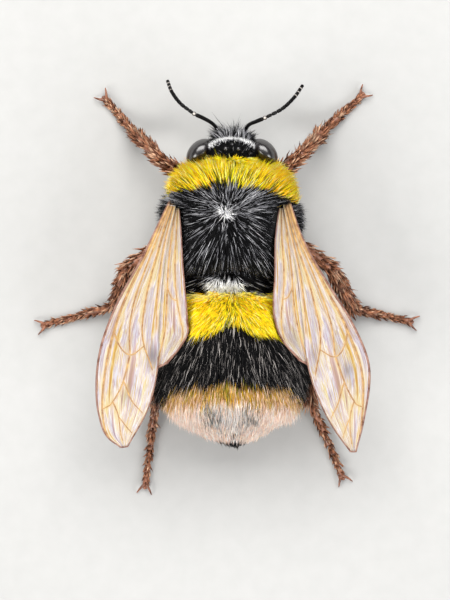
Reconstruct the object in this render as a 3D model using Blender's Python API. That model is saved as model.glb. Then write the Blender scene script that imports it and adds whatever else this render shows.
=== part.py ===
"""A queen buff-tailed bumblebee at life size, standing on six feet with its wings half folded.

The bee faces -Y, its left side is at +X, and its feet stand on z = 0. Every length below is in
millimetres, and add_piece turns them into metres. The body's solids reach to the tips of the coat.
"""

import math

import bpy
import numpy as np

MM = 0.001
GAP = 0.3  # clearance between neighbouring pieces of the trunk
JOINT_GAP = 0.15  # clearance at the joints of limbs, which are themselves only 0.5 to 1 thick
MIDLINE_X = -0.335  # the left feet reach farther out, so the midline lies beside the origin
MIDLINE_Y = 0.158  # half the difference between how far the feelers and the hind feet reach

# Thorax: a furry ball, blunt behind, with its middle at THORAX_Y, THORAX_Z.
THORAX_Y, THORAX_Z = -4.7, 5.3
THORAX_HALF_WIDTH = 4.95
THORAX_FRONT, THORAX_BACK = 4.45, 4.4
THORAX_UP, THORAX_DOWN = 4.1, 3.6

# Abdomen: an egg that is blunt in front, widest two thirds back, and droops to a pointed tail.
ABDOMEN_FRONT, ABDOMEN_WIDEST, ABDOMEN_TAIL = 0.0, 5.6, 10.75
ABDOMEN_HALF_WIDTH, ABDOMEN_HALF_HEIGHT = 5.0, 3.85
ABDOMEN_Z, ABDOMEN_DROOP = 4.9, 1.5
TERGUM_EDGES = (0.0, 0.7, 3.35, 6.35, 8.15, 9.65, 10.75)

# Head: a flattened capsule that hangs below the collar, with a tuft standing out of its face.
HEAD_Y, HEAD_Z = -9.15, 4.05
HEAD_HALF_WIDTH, HEAD_HALF_HEIGHT = 2.55, 2.5
HEAD_FRONT, HEAD_BACK = 1.2, 0.9
HEAD_TAPER = 0.42  # share of its width that the head loses towards the jaws
FACE_TUFT, FACE_TUFT_WIDTH, FACE_TUFT_Z = 0.85, 0.95, 5.3
EYE_CENTRE = (2.17, -9.1, 4.2)
EYE_RADII = (0.76, 0.8, 1.75)

# Wings: flat blades that slope outward and bow down towards base and tip.
WING_Z, WING_SLOPE, WING_BOW = 7.8, 0.17, 0.012
WING_THICK = 0.5
TEGULA_RADII = (0.42, 0.5, 0.3)

# Each wing is drawn by its leading edge and its trailing edge, both from base to tip (x, y).
WING_EDGES = {
    "forewing_left": (
        ((4.2, -5.5), (5.9, -2.1), (7.87, 1.6), (8.73, 4.1), (9.0, 6.3), (8.85, 8.4), (8.3, 9.9), (7.4, 10.6)),
        ((3.4, -5.4), (4.1, -3.8), (4.55, -1.0), (4.85, 2.5), (4.97, 5.5), (5.53, 7.87), (6.95, 10.55)),
    ),
    "hindwing_left": (
        ((3.85, -3.9), (4.25, -1.0), (4.55, 2.5), (4.62, 5.15)),
        ((3.3, -3.9), (3.12, -1.0), (2.95, 1.8), (2.95, 3.0), (3.4, 3.85), (4.3, 4.95)),
    ),
    "forewing_right": (
        ((-3.8, -5.5), (-4.65, -3.3), (-6.45, -0.1), (-8.0, 2.4), (-9.05, 5.0), (-8.75, 8.8), (-8.25, 10.9)),
        ((-3.0, -5.4), (-3.72, -3.8), (-4.3, -1.0), (-4.72, 2.5), (-5.1, 5.4), (-6.87, 9.5), (-7.9, 10.9)),
    ),
    "hindwing_right": (
        ((-3.42, -3.9), (-4.0, -1.0), (-4.42, 2.5), (-4.75, 4.95)),
        ((-2.87, -3.9), (-2.85, -1.0), (-2.87, 2.2), (-3.25, 3.3), (-4.45, 4.75)),
    ),
}

# Leg joints: hip in the thorax, trochanter, knee, ankle, and the toe's place on the floor (x, y).
LEG_JOINTS = {
    "front_left": ((1.1, -6.5, 2.5), (2.45, -7.1, 1.6), (4.8, -8.6, 3.3), (6.45, -10.3, 1.0), (8.55, -12.75)),
    "front_right": ((-1.1, -6.5, 2.5), (-2.35, -7.1, 1.6), (-4.5, -8.8, 3.3), (-6.05, -10.45, 1.0), (-8.75, -13)),
    "middle_left": ((1.3, -4.0, 2.3), (3.1, -3.8, 1.5), (7.0, -1.4, 3.9), (7.85, 1.2, 0.95), (12.65, 2.5)),
    "middle_right": ((-1.3, -4.0, 2.3), (-3.0, -3.8, 1.5), (-6.7, -1.3, 3.9), (-8.15, 1.4, 0.95), (-12, 2.25)),
    "hind_left": ((1.1, -2.1, 2.3), (2.6, -1.3, 1.5), (5.6, 2.2, 4.0), (5.1, 7.4, 1.2), (5.85, 13.3)),
    "hind_right": ((-1.1, -2.1, 2.3), (-2.6, -1.3, 1.5), (-5.6, 2.2, 4.0), (-5.25, 7.5, 1.2), (-7.45, 12.7)),
}
# Half thicknesses for each pair of legs: femur, tibia across and deep at both ends, tarsus.
LEG_SIZES = {
    "front": {"femur": 0.5, "tibia": (0.42, 0.42, 0.44, 0.44), "tarsus": (0.36, 0.36)},
    "middle": {"femur": 0.54, "tibia": (0.5, 0.5, 0.52, 0.52), "tarsus": (0.36, 0.36)},
    "hind": {"femur": 0.52, "tibia": (0.36, 0.5, 0.42, 0.85), "tarsus": (0.38, 0.62)},
}
TOE_HALF = 0.27
TARSOMERE_ENDS = (0.0, 0.46, 0.6, 0.73, 0.86, 1.0)
CLAW_LENGTH, CLAW_SPLAY = 0.72, math.radians(48)

# Antennae: the scape from the face to the elbow, then points along the flagellum to its tip.
SCAPE_ENDS = {
    "left": ((1.1, -10.75, 4.6), (2.45, -11.5, 6.05)),
    "right": ((-1.0, -10.75, 4.6), (-2.1, -11.25, 6.05)),
}
FLAGELLUM_POINTS = {
    "left": ((2.65, -11.65, 6.1), (3.4, -12.25, 5.75), (4.0, -13.05, 5.1), (4.31, -13.88, 4.2)),
    "right": ((-2.32, -11.37, 6.1), (-3.3, -11.9, 5.75), (-4.1, -12.65, 5.1), (-4.73, -13.57, 4.2)),
}
ANTENNA_HALF = 0.26
FLAGELLUM_SEGMENTS = 10

MATERIALS = {  # base colour, roughness, metallic
    "coat_black": ((0.012, 0.011, 0.010), 0.8, 0.0),
    "coat_yellow": ((0.80, 0.50, 0.02), 0.8, 0.0),
    "coat_tawny": ((0.42, 0.22, 0.05), 0.8, 0.0),
    "coat_buff": ((0.66, 0.48, 0.36), 0.8, 0.0),
    "shell_black": ((0.010, 0.009, 0.009), 0.25, 0.0),
    "eye_black": ((0.006, 0.005, 0.006), 0.12, 0.0),
    "leg_brown": ((0.30, 0.12, 0.05), 0.6, 0.0),
    "wing_membrane": ((0.74, 0.62, 0.52), 0.35, 0.0),
}


# ---------------------------------------------------------------- shared shape tools


def make_material(name):
    """One Principled material from the table above."""
    colour, roughness, metallic = MATERIALS[name]
    material = bpy.data.materials.new(name)
    material.use_nodes = True
    shader = material.node_tree.nodes["Principled BSDF"]
    shader.inputs["Base Color"].default_value = (*colour, 1.0)
    shader.inputs["Roughness"].default_value = roughness
    shader.inputs["Metallic"].default_value = metallic
    material.diffuse_color = (*colour, 1.0)
    return material


def enclosed_volume(points, faces):
    """Signed volume inside the faces, positive when they all face outward."""
    total = 0.0
    for face in faces:
        first = points[face[0]]
        for second, third in zip(face[1:-1], face[2:]):
            total += np.dot(first, np.cross(points[second], points[third])) / 6
    return total


def add_piece(name, shape, material):
    """Make an object from (points, faces) in millimetres, faces outward and shaded smooth."""
    points, faces = shape
    if enclosed_volume(points, faces) < 0:
        faces = [face[::-1] for face in faces]
    shift = np.array([MIDLINE_X, MIDLINE_Y, 0.0])
    mesh = bpy.data.meshes.new(name)
    mesh.from_pydata([tuple(p) for p in (points + shift) * MM], [], faces)
    mesh.validate()
    mesh.shade_smooth()
    mesh.set_sharp_from_angle(angle=math.radians(50))
    piece = bpy.data.objects.new(name, mesh)
    bpy.context.scene.collection.objects.link(piece)
    if material:
        mesh.materials.append(bpy.data.materials.get(material) or make_material(material))
    return piece


def add_guide(name, shape):
    """A cutting shape that isn't part of the bee."""
    guide = add_piece(name, shape, None)
    guide.hide_render = True
    guide.display_type = "WIRE"
    return guide


def combine(piece, other, operation):
    """Boolean the other object into the piece as a modifier."""
    step = piece.modifiers.new(operation.lower() + "_" + other.name, "BOOLEAN")
    step.operation = operation
    step.solver = "EXACT"
    step.object = other


def close_rings(rings, start=None, end=None):
    """Skin rings of points (rings x sides x 3), closing both ends on a middle point."""
    count, sides = rings.shape[:2]
    start = rings[0].mean(axis=0) if start is None else start
    end = rings[-1].mean(axis=0) if end is None else end
    points = np.vstack([rings.reshape(-1, 3), start, end])
    faces = []
    for ring in range(count - 1):
        for side in range(sides):
            a = ring * sides + side
            b = ring * sides + (side + 1) % sides
            faces.append((a, b, b + sides, a + sides))
    last = (count - 1) * sides
    for side in range(sides):
        after = (side + 1) % sides
        faces.append((after, side, count * sides))
        faces.append((last + side, last + after, count * sides + 1))
    return points, faces


def smooth_curve(anchors, positions):
    """Read a Catmull-Rom curve through the anchors at positions 0..1 of its chord length."""
    anchors = np.asarray(anchors, dtype=float)
    chords = np.linalg.norm(np.diff(anchors, axis=0), axis=1)
    knots = np.concatenate([[0.0], np.cumsum(chords)]) / chords.sum()
    slopes = np.gradient(anchors, knots, axis=0)
    at = np.clip(np.asarray(positions, dtype=float), 0.0, 1.0)
    span = np.clip(np.searchsorted(knots, at, side="right") - 1, 0, len(knots) - 2)
    width = (knots[span + 1] - knots[span])[:, None]
    t = (at - knots[span])[:, None] / width
    return (
        (2 * t**3 - 3 * t**2 + 1) * anchors[span]
        + (t**3 - 2 * t**2 + t) * width * slopes[span]
        + (3 * t**2 - 2 * t**3) * anchors[span + 1]
        + (t**3 - t**2) * width * slopes[span + 1]
    )


def end_spaced(count):
    """Places 0..1 that crowd towards both ends."""
    return (1 - np.cos(np.linspace(0.0, math.pi, count))) / 2


def rounding(places, length, radius):
    """Scale factor that domes both ends of a rod over the given radius."""
    inward = np.minimum(places, 1 - places) * length
    t = np.clip(inward / radius, 0.0, 1.0)
    return np.sqrt(1 - (1 - t) ** 2)


def sweep(path, across, deep, sides, floor=None):
    """Skin elliptical sections along a path; the first and last path points are the end poles."""
    tangents = np.gradient(path, axis=0)
    tangents /= np.linalg.norm(tangents, axis=1)[:, None]
    side_axis = np.cross(tangents, (0.0, 0.0, 1.0))
    side_axis /= np.linalg.norm(side_axis, axis=1)[:, None]
    up_axis = np.cross(side_axis, tangents)
    angles = (np.arange(sides) + 0.5) * 2 * math.pi / sides - math.pi / 2
    rings = (
        path[:, None, :]
        + (across[:, None] * np.cos(angles))[:, :, None] * side_axis[:, None, :]
        + (deep[:, None] * np.sin(angles))[:, :, None] * up_axis[:, None, :]
    )[1:-1]
    if floor is not None:
        rings[:, :, 2] = np.maximum(rings[:, :, 2], floor)
    return close_rings(rings, path[0], path[-1])


def rod(start, end, half_start, half_end, sides=8, count=8, grow=0.0, bow=(0.0, 0.0, 0.0)):
    """A straight or bowed rod with domed ends; grow thickens and lengthens it on every side."""
    start, end = np.array(start), np.array(end)
    length = np.linalg.norm(end - start)
    direction = (end - start) / length
    start, end = start - direction * grow, end + direction * grow
    length += 2 * grow
    places = end_spaced(count)
    path = start + (end - start) * places[:, None]
    path = path + np.array(bow) * np.sin(places * math.pi)[:, None]
    halves = half_start + (np.array(half_end) - half_start) * places + grow
    dome = rounding(places, length, halves.mean())
    return sweep(path, halves * dome, halves * dome, sides)


def ellipsoid(centre, radii, sides=14, count=9, grow=0.0, lean=0.0):
    """An ellipsoid with its poles on Z, its top leaning inward by the given share of its height."""
    centre, radii = np.array(centre), np.array(radii) + grow
    heights = -np.cos(np.linspace(0.0, math.pi, count))[1:-1]
    spread = np.sqrt(1 - heights**2)
    angles = np.arange(sides) * 2 * math.pi / sides
    rings = np.stack(
        [
            radii[0] * spread[:, None] * np.cos(angles),
            radii[1] * spread[:, None] * np.sin(angles),
            radii[2] * np.repeat(heights[:, None], sides, axis=1),
        ],
        axis=-1,
    )
    poles = np.array([[0.0, 0.0, -radii[2]], [0.0, 0.0, radii[2]]])
    for points in (rings, poles):
        points[..., 0] -= np.sign(centre[0]) * lean * points[..., 2]
    return close_rings(rings + centre, poles[0] + centre, poles[1] + centre)


def power_cos(angles, power):
    """Cosine bent so that the loop it draws is a superellipse of the given power."""
    wave = np.cos(angles)
    return np.sign(wave) * np.abs(wave) ** (2 / power)


# ---------------------------------------------------------------- trunk


def thorax_shape():
    """A ball of sections along Y: seen from above squarer and blunt behind, from the side rounder."""
    along = -np.cos(np.linspace(0.0, math.pi, 16))[1:-1]
    power = np.where(along > 0, 2.8, 2.3)
    broad = (1 - np.abs(along) ** power) ** (1 / power)
    tall = np.sqrt(1 - np.abs(along) ** 2)
    angles = np.arange(26) * 2 * math.pi / 26
    side = power_cos(angles, 2.1)
    up = power_cos(angles - math.pi / 2, 2.1)
    height = np.where(up > 0, THORAX_UP, THORAX_DOWN) * up
    reach = np.where(along > 0, THORAX_BACK, THORAX_FRONT) * along
    rings = np.empty((len(along), len(angles), 3))
    rings[..., 0] = THORAX_HALF_WIDTH * broad[:, None] * side
    rings[..., 1] = THORAX_Y + reach[:, None]
    rings[..., 2] = THORAX_Z + tall[:, None] * height
    front = np.array([0.0, THORAX_Y - THORAX_FRONT, THORAX_Z])
    back = np.array([0.0, THORAX_Y + THORAX_BACK, THORAX_Z])
    return close_rings(rings, front, back)


def abdomen_shares(y):
    """Half width and half height of the abdomen at y, each as a share of its greatest value."""
    behind = np.clip((y - ABDOMEN_WIDEST) / (ABDOMEN_TAIL - ABDOMEN_WIDEST), 0.0, 1.0)
    before = np.clip((ABDOMEN_WIDEST - y) / (ABDOMEN_WIDEST - ABDOMEN_FRONT + 0.05), 0.0, 1.0)
    tail = (1 - behind**2.3) ** 0.78
    return tail * (1 - before**1.5) ** 0.13, tail * (1 - before**2) ** 0.27


def abdomen_ring(y, sides=26):
    """The abdomen's section at y, a superellipse about its drooping middle line."""
    angles = np.arange(sides) * 2 * math.pi / sides
    broad, tall = abdomen_shares(y)
    x = ABDOMEN_HALF_WIDTH * broad * power_cos(angles, 2.1)
    z = abdomen_middle(y) + ABDOMEN_HALF_HEIGHT * tall * power_cos(angles - math.pi / 2, 2.1)
    return np.stack([x, np.full(sides, y), z], axis=1)


def abdomen_middle(y):
    """Height of the abdomen's middle line at y."""
    return ABDOMEN_Z - ABDOMEN_DROOP * (max(y, 0.0) / ABDOMEN_TAIL) ** 2.2


def tergum_shape(number):
    """One segment of the abdomen, between two cuts across it."""
    start = TERGUM_EDGES[number - 1] + (GAP / 2 if number > 1 else 0.0)
    end = TERGUM_EDGES[number] - (GAP / 2 if number < 6 else 0.0)
    if number == 6:
        places = start + (end - start) * np.array([0.0, 0.25, 0.5, 0.72, 0.88, 0.97])
        tip = np.array([0.0, end, abdomen_middle(end)])
    else:
        places = np.linspace(start, end, 5 if number == 5 else 4 if end - start > 1 else 3)
        tip = None
    rings = np.stack([abdomen_ring(y) for y in places])
    return close_rings(rings, None, tip)


def head_shape(grow=0.0):
    """A capsule of superellipse sections up Z, with the tuft swelling out of its face."""
    heights = -np.cos(np.linspace(0.0, math.pi, 13))[1:-1]
    radius = (1 - np.abs(heights) ** 2.3) ** (1 / 2.3)
    angles = np.arange(24) * 2 * math.pi / 24
    side = power_cos(angles, 2.3)
    depth = power_cos(angles - math.pi / 2, 2.3)
    reach = np.where(depth > 0, HEAD_BACK, HEAD_FRONT) + grow
    rings = np.empty((len(heights), len(angles), 3))
    narrowing = 1 - HEAD_TAPER * np.clip(-heights, 0.0, 1.0) ** 1.5
    rings[..., 0] = (HEAD_HALF_WIDTH * narrowing + grow)[:, None] * radius[:, None] * side
    rings[..., 1] = HEAD_Y + radius[:, None] * (reach * depth)
    rings[..., 2] = HEAD_Z + (HEAD_HALF_HEIGHT + grow) * heights[:, None]
    tuft = np.exp(-((rings[..., 0] / FACE_TUFT_WIDTH) ** 2) - (rings[..., 2] - FACE_TUFT_Z) ** 2)
    rings[..., 1] -= FACE_TUFT * tuft * (depth < 0)
    return close_rings(rings)


# ---------------------------------------------------------------- wings


def wing_height(x, y):
    """Height of the wings' middle surface above the floor."""
    return WING_Z - WING_SLOPE * (np.abs(x) - 3.0) - WING_BOW * y**2


def wing_plate(edges, rows, columns, below, above, grow=0.0):
    """A blade between two edges, from below to above the wings' middle surface."""
    places = end_spaced(rows)
    lead = smooth_curve(edges[0], places)
    trail = smooth_curve(edges[1], places)
    apart = (lead - trail) / np.linalg.norm(lead - trail, axis=1)[:, None]
    lead, trail = lead + apart * grow, trail - apart * grow
    lead[0, 1] -= grow
    trail[0, 1] -= grow
    lead[-1, 1] += grow
    trail[-1, 1] += grow
    across = np.linspace(0.0, 1.0, columns)[None, :, None]
    plan = lead[:, None, :] * (1 - across) + trail[:, None, :] * across
    middle = wing_height(plan[..., 0], plan[..., 1])
    top = np.concatenate([plan, (middle + above)[..., None]], axis=2)
    bottom = np.concatenate([plan, (middle - below)[..., None]], axis=2)
    points = np.vstack([top.reshape(-1, 3), bottom.reshape(-1, 3)])
    under = rows * columns
    faces = []
    for row in range(rows - 1):
        for column in range(columns - 1):
            a = row * columns + column
            quad = (a, a + 1, a + columns + 1, a + columns)
            faces.append(quad)
            faces.append(tuple(under + corner for corner in quad[::-1]))
    rim = list(range(columns))
    rim += [row * columns + columns - 1 for row in range(1, rows)]
    rim += [(rows - 1) * columns + column for column in range(columns - 2, -1, -1)]
    rim += [row * columns for row in range(rows - 2, 0, -1)]
    for here, after in zip(rim, rim[1:] + rim[:1]):
        faces.append((after, here, under + here, under + after))
    return points, faces


# ---------------------------------------------------------------- legs and feelers


def tarsus_shape(ankle, toe, sizes):
    """The foot: a long basitarsus and four short joints, each widest at its far end.

    It comes down from the ankle and lies flat on the floor for its last two fifths.
    """
    places = [0.0]
    halves = [0.0]
    for start, end in zip(TARSOMERE_ENDS[:-1], TARSOMERE_ENDS[1:]):
        places += [start + 0.03, end - 0.01]
        halves += [0.78, 1.0]
    places, halves = np.array(places + [1.0]), np.array(halves + [0.0])
    thin = np.clip(places / TARSOMERE_ENDS[2], 0.0, 1.0)
    across = (sizes[0] + (TOE_HALF - sizes[0]) * thin) * halves
    deep = (sizes[1] + (TOE_HALF - sizes[1]) * thin) * halves
    plan = np.array(ankle[:2]) + (np.array(toe) - ankle[:2]) * places[:, None]
    drop = np.clip(1 - places / 0.62, 0.0, 1.0) ** 1.6
    height = TOE_HALF * 0.82 + (ankle[2] - TOE_HALF * 0.82) * drop
    path = np.column_stack([plan, height])
    return sweep(path, across, deep, 8, floor=0.0)


def claw_shape(toe, heading, splay):
    """One claw, hooked from inside the last joint outward and down, just clear of the floor."""
    places = np.linspace(0.0, 1.0, 6)
    turned = heading + splay
    reach = CLAW_LENGTH * places
    path = np.column_stack(
        [
            toe[0] - 0.12 * math.cos(heading) + reach * math.cos(turned),
            toe[1] - 0.12 * math.sin(heading) + reach * math.sin(turned),
            0.33 + 0.1 * np.sin(places * math.pi) - 0.13 * places**2,
        ]
    )
    halves = 0.24 * (1 - 0.45 * places) * np.array([0.0, 1.0, 1.0, 1.0, 0.8, 0.0])
    return sweep(path, halves, halves, 6, floor=0.05)


def build_leg(name, joints):
    """One leg as four solids, with a gap at each joint; returns the clearance for its coxa."""
    hip, trochanter, knee, ankle, toe = [np.array(joint) for joint in joints]
    sizes = LEG_SIZES[name.split("_")[0]]
    half = sizes["femur"]
    add_piece("coxa_" + name, rod(hip, trochanter, half, half * 0.9, 8, 7), "leg_brown")
    along = (knee - trochanter) / np.linalg.norm(knee - trochanter)
    bow = (0.0, 0.0, 0.18)
    femur = rod(trochanter + along * JOINT_GAP, knee, half * 0.85, half * 0.9, 8, 9, bow=bow)
    add_piece("femur_" + name, femur, "leg_brown")

    along = (ankle - knee) / np.linalg.norm(ankle - knee)
    start, end = knee + along * JOINT_GAP, ankle - along * JOINT_GAP / 2
    places = end_spaced(9)
    path = start + (end - start) * places[:, None]
    dome = rounding(places, np.linalg.norm(end - start), half)
    wide_start, deep_start, wide_end, deep_end = sizes["tibia"]
    across = (wide_start + (wide_end - wide_start) * places) * dome
    deep = (deep_start + (deep_end - deep_start) * places) * dome
    add_piece("tibia_" + name, sweep(path, across, deep, 8), "leg_brown")

    heading = math.atan2(toe[1] - ankle[1], toe[0] - ankle[0])
    ahead = np.array([math.cos(heading), math.sin(heading), 0.0])
    foot_shape = tarsus_shape(ankle + ahead * JOINT_GAP / 2, toe, sizes["tarsus"])
    foot = add_piece("tarsus_" + name, foot_shape, "leg_brown")
    for side in (-1, 1):
        claw = add_guide("claw_%s_%d" % (name, side), claw_shape(toe, heading, side * CLAW_SPLAY))
        combine(foot, claw, "UNION")
    return add_guide("clear_coxa_" + name, rod(hip, trochanter, half, half * 0.9, 8, 6, grow=GAP))


def build_antenna(side):
    """Scape and beaded flagellum of one feeler."""
    half = ANTENNA_HALF
    scape = rod(*SCAPE_ENDS[side], half, half * 1.05, 8, 8, bow=(0.0, 0.0, 0.08))
    add_piece("antenna_scape_" + side, scape, "shell_black")
    places = [0.0]
    halves = [0.0]
    for segment in range(FLAGELLUM_SEGMENTS):
        places += [(segment + 0.12) / FLAGELLUM_SEGMENTS, (segment + 0.8) / FLAGELLUM_SEGMENTS]
        halves += [half * 0.94, half * 1.06]
    places.append(1.0)
    halves.append(0.0)
    path = smooth_curve(FLAGELLUM_POINTS[side], places)
    halves = np.array(halves)
    add_piece("antenna_flagellum_" + side, sweep(path, halves, halves, 8), "shell_black")


# ---------------------------------------------------------------- the whole bee


def build_head():
    """Head capsule with its eyes, feelers and mouthparts; returns what the thorax must clear."""
    head = add_piece("head", head_shape(), "coat_black")
    clearances = [add_guide("clear_head", head_shape(GAP))]
    for side, name in ((1, "left"), (-1, "right")):
        centre = (side * EYE_CENTRE[0], EYE_CENTRE[1], EYE_CENTRE[2])
        add_piece("eye_" + name, ellipsoid(centre, EYE_RADII, lean=-0.08), "eye_black")
        socket = add_guide("clear_eye_" + name, ellipsoid(centre, EYE_RADII, grow=GAP, lean=-0.08))
        combine(head, socket, "DIFFERENCE")
        clearances.append(socket)
        build_antenna(name)
        jaw_line = ((side * 0.95, -9.3, 2.0), (side * 0.36, -9.95, 0.75), 0.4, 0.27)
        jaw_bow = (side * 0.18, -0.12, 0.0)
        add_piece("mandible_" + name, rod(*jaw_line, 8, 8, bow=jaw_bow), "shell_black")
        jaw_room = rod(*jaw_line, 8, 6, grow=JOINT_GAP, bow=jaw_bow)
        combine(head, add_guide("clear_mandible_" + name, jaw_room), "DIFFERENCE")
    tongue_line = ((0.0, -9.2, 1.35), (0.0, -7.3, 1.15), 0.34, 0.26)
    add_piece("proboscis", rod(*tongue_line, 8, 8), "shell_black")
    tongue_room = add_guide("clear_proboscis", rod(*tongue_line, 8, 6, grow=JOINT_GAP))
    combine(head, tongue_room, "DIFFERENCE")
    return clearances


def build_wings():
    """Four wings and two tegulae; returns the room that the trunk leaves for them."""
    clearances = []
    for name, edges in WING_EDGES.items():
        rows = 16 if name.startswith("fore") else 10
        half = WING_THICK / 2
        add_piece(name, wing_plate(edges, rows, 5, half, half), "wing_membrane")
        room = wing_plate(edges, 9, 2, half + GAP, 5.0, grow=GAP)
        clearances.append(add_guide("clear_" + name, room))
    for side, name in ((1, "left"), (-1, "right")):
        root = np.array(WING_EDGES["forewing_" + name][0][0])
        centre = (root[0] - side * 0.2, root[1] - TEGULA_RADII[1] - GAP - 0.05, wing_height(*root))
        add_piece("tegula_" + name, ellipsoid(centre, TEGULA_RADII, 12, 7), "shell_black")
        room = ellipsoid(centre, TEGULA_RADII, 12, 7, grow=GAP)
        clearances.append(add_guide("clear_tegula_" + name, room))
    return clearances


def build_bee():
    """Every piece of the bee, then the cuts that keep the trunk clear of what it carries."""
    for old in list(bpy.data.objects):
        bpy.data.objects.remove(old)
    wing_room = build_wings()
    head_room = build_head()
    coxa_room = [build_leg(name, joints) for name, joints in LEG_JOINTS.items()]
    thorax = add_piece("thorax", thorax_shape(), "coat_black")
    for room in head_room + wing_room + coxa_room:
        combine(thorax, room, "DIFFERENCE")
    coats = ("coat_black", "coat_yellow", "coat_black", "coat_tawny", "coat_buff", "coat_buff")
    for number, coat in enumerate(coats, start=1):
        tergum = add_piece("abdomen_%d" % number, tergum_shape(number), coat)
        if number < 4:
            for room in wing_room[:4]:
                combine(tergum, room, "DIFFERENCE")


build_bee()
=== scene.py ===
"""A life-size museum model of a queen buff-tailed bumblebee, seen from above with her wings laid back.

Lengths are in millimetres in the bee's own frame: she faces -Y, her left is +X and she stands on Z = 0.
"""

import math

import bpy
import numpy as np
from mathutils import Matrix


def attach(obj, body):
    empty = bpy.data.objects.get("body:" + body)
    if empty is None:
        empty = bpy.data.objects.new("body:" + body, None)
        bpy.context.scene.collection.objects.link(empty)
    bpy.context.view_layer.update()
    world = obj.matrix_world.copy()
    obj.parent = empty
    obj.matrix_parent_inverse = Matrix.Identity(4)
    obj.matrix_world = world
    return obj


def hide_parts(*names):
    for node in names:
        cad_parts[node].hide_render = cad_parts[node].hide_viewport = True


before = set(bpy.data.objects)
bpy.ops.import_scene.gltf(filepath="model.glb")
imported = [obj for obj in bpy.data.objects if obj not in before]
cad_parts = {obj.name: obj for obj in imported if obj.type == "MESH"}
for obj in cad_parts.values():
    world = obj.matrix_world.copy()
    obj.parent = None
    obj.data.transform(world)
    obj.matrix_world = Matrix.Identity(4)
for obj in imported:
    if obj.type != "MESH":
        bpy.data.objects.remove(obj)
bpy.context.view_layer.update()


# ---------------------------------------------------------------- ground, lamps and camera
# The model stands on a sheet of pale card before a pale backdrop, as for a museum's record of a specimen.
# Three soft lamps hang round it: a broad one ahead of the face, which the eyes mirror, and two fills.

MM = 0.001
MIDLINE = np.array([-0.335, 0.158, 0.0])  # where the bee's own frame starts in the shared one


def new_object(name, data):
    """An object for the data, put into the scene."""
    made = bpy.data.objects.new(name, data)
    bpy.context.scene.collection.objects.link(made)
    return made


def mesh_piece(name, points, *face_sets):
    """A smooth mesh object from points in the bee's frame and one array of corner numbers per face size."""
    corners = np.concatenate([faces.reshape(-1) for faces in face_sets])
    sizes = np.concatenate([np.full(len(faces), faces.shape[1]) for faces in face_sets])
    mesh = bpy.data.meshes.new(name)
    mesh.vertices.add(len(points))
    mesh.vertices.foreach_set("co", ((points + MIDLINE) * MM).astype(np.float32).ravel())
    mesh.loops.add(len(corners))
    mesh.loops.foreach_set("vertex_index", corners.astype(np.int32))
    mesh.polygons.add(len(sizes))
    mesh.polygons.foreach_set("loop_start", (np.cumsum(sizes) - sizes).astype(np.int32))
    mesh.polygons.foreach_set("use_smooth", np.ones(len(sizes), dtype=bool))
    mesh.update(calc_edges=True)
    return new_object(name, mesh)


def dye(red, green, blue):
    """A colour named by its 0 to 255 screen values, as the linear values that shaders work in."""
    share = np.array([red, green, blue]) / 255
    return np.where(share > 0.04045, ((share + 0.055) / 1.055) ** 2.4, share / 12.92)


def opaque(colour):
    """The colour with full opacity, as colour sockets want it."""
    return (*[float(part) for part in colour], 1.0)


def wire(tree, kind, inputs=(), **settings):
    """Adds one shader node; each input takes a plain value, a dye or another node's output."""
    made = tree.nodes.new("ShaderNode" + kind)
    for name, value in settings.items():
        setattr(made, name, value)
    for key, value in dict(inputs).items():
        if isinstance(value, bpy.types.NodeSocket):
            tree.links.new(value, made.inputs[key])
        else:
            made.inputs[key].default_value = opaque(value) if isinstance(value, np.ndarray) else value
    return made


def feed(tree, node, **sources):
    """Links each source to the node's input of that name."""
    for name, source in sources.items():
        tree.links.new(source, node.inputs[name.replace("_", " ")])


def blend(tree, share, first, second, how="MIX"):
    """The second colour laid over the first by the share."""
    return wire(tree, "Mix", {0: share, 6: first, 7: second}, data_type="RGBA", blend_type=how).outputs[2]


def noise(tree, at, scale, detail, **more):
    """Cloudy noise of about 0 to 1 at the given place, scale and detail."""
    return wire(tree, "TexNoise", {"Vector": at, "Scale": scale, "Detail": detail, **more}).outputs["Fac"]


def own_place(tree):
    """The shaded point's place in its object."""
    return wire(tree, "TexCoord").outputs["Object"]


def new_material(name, **sockets):
    """A material with one Principled shader; returns the material, its tree and the shader."""
    material = bpy.data.materials.new(name)
    material.use_nodes = True
    tree = material.node_tree
    shader = tree.nodes["Principled BSDF"]
    for key, value in sockets.items():
        shader.inputs[key.replace("_", " ")].default_value = value
    return material, tree, shader


CARD_HALF, CARD_DROP, CARD_LINES = 240.0, 0.01, 9
steps = np.linspace(-CARD_HALF, CARD_HALF, CARD_LINES)
across, along = np.meshgrid(steps, steps)
card = np.stack([across, along, 0 * across - CARD_DROP], axis=-1).reshape(-1, 3)
corner = (np.arange(CARD_LINES - 1)[:, None] * CARD_LINES + np.arange(CARD_LINES - 1)).reshape(-1, 1)
floor = mesh_piece("card", card, corner + np.array([[0, 1, CARD_LINES + 1, CARD_LINES]]))
card_stock, tree, shader = new_material("card_stock", Roughness=0.9)
fibres = noise(tree, own_place(tree), 900.0, 3.0)
feed(tree, shader, Base_Color=blend(tree, fibres, dye(170, 170, 169), dye(178, 178, 177)))
floor.data.materials.append(card_stock)

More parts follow.
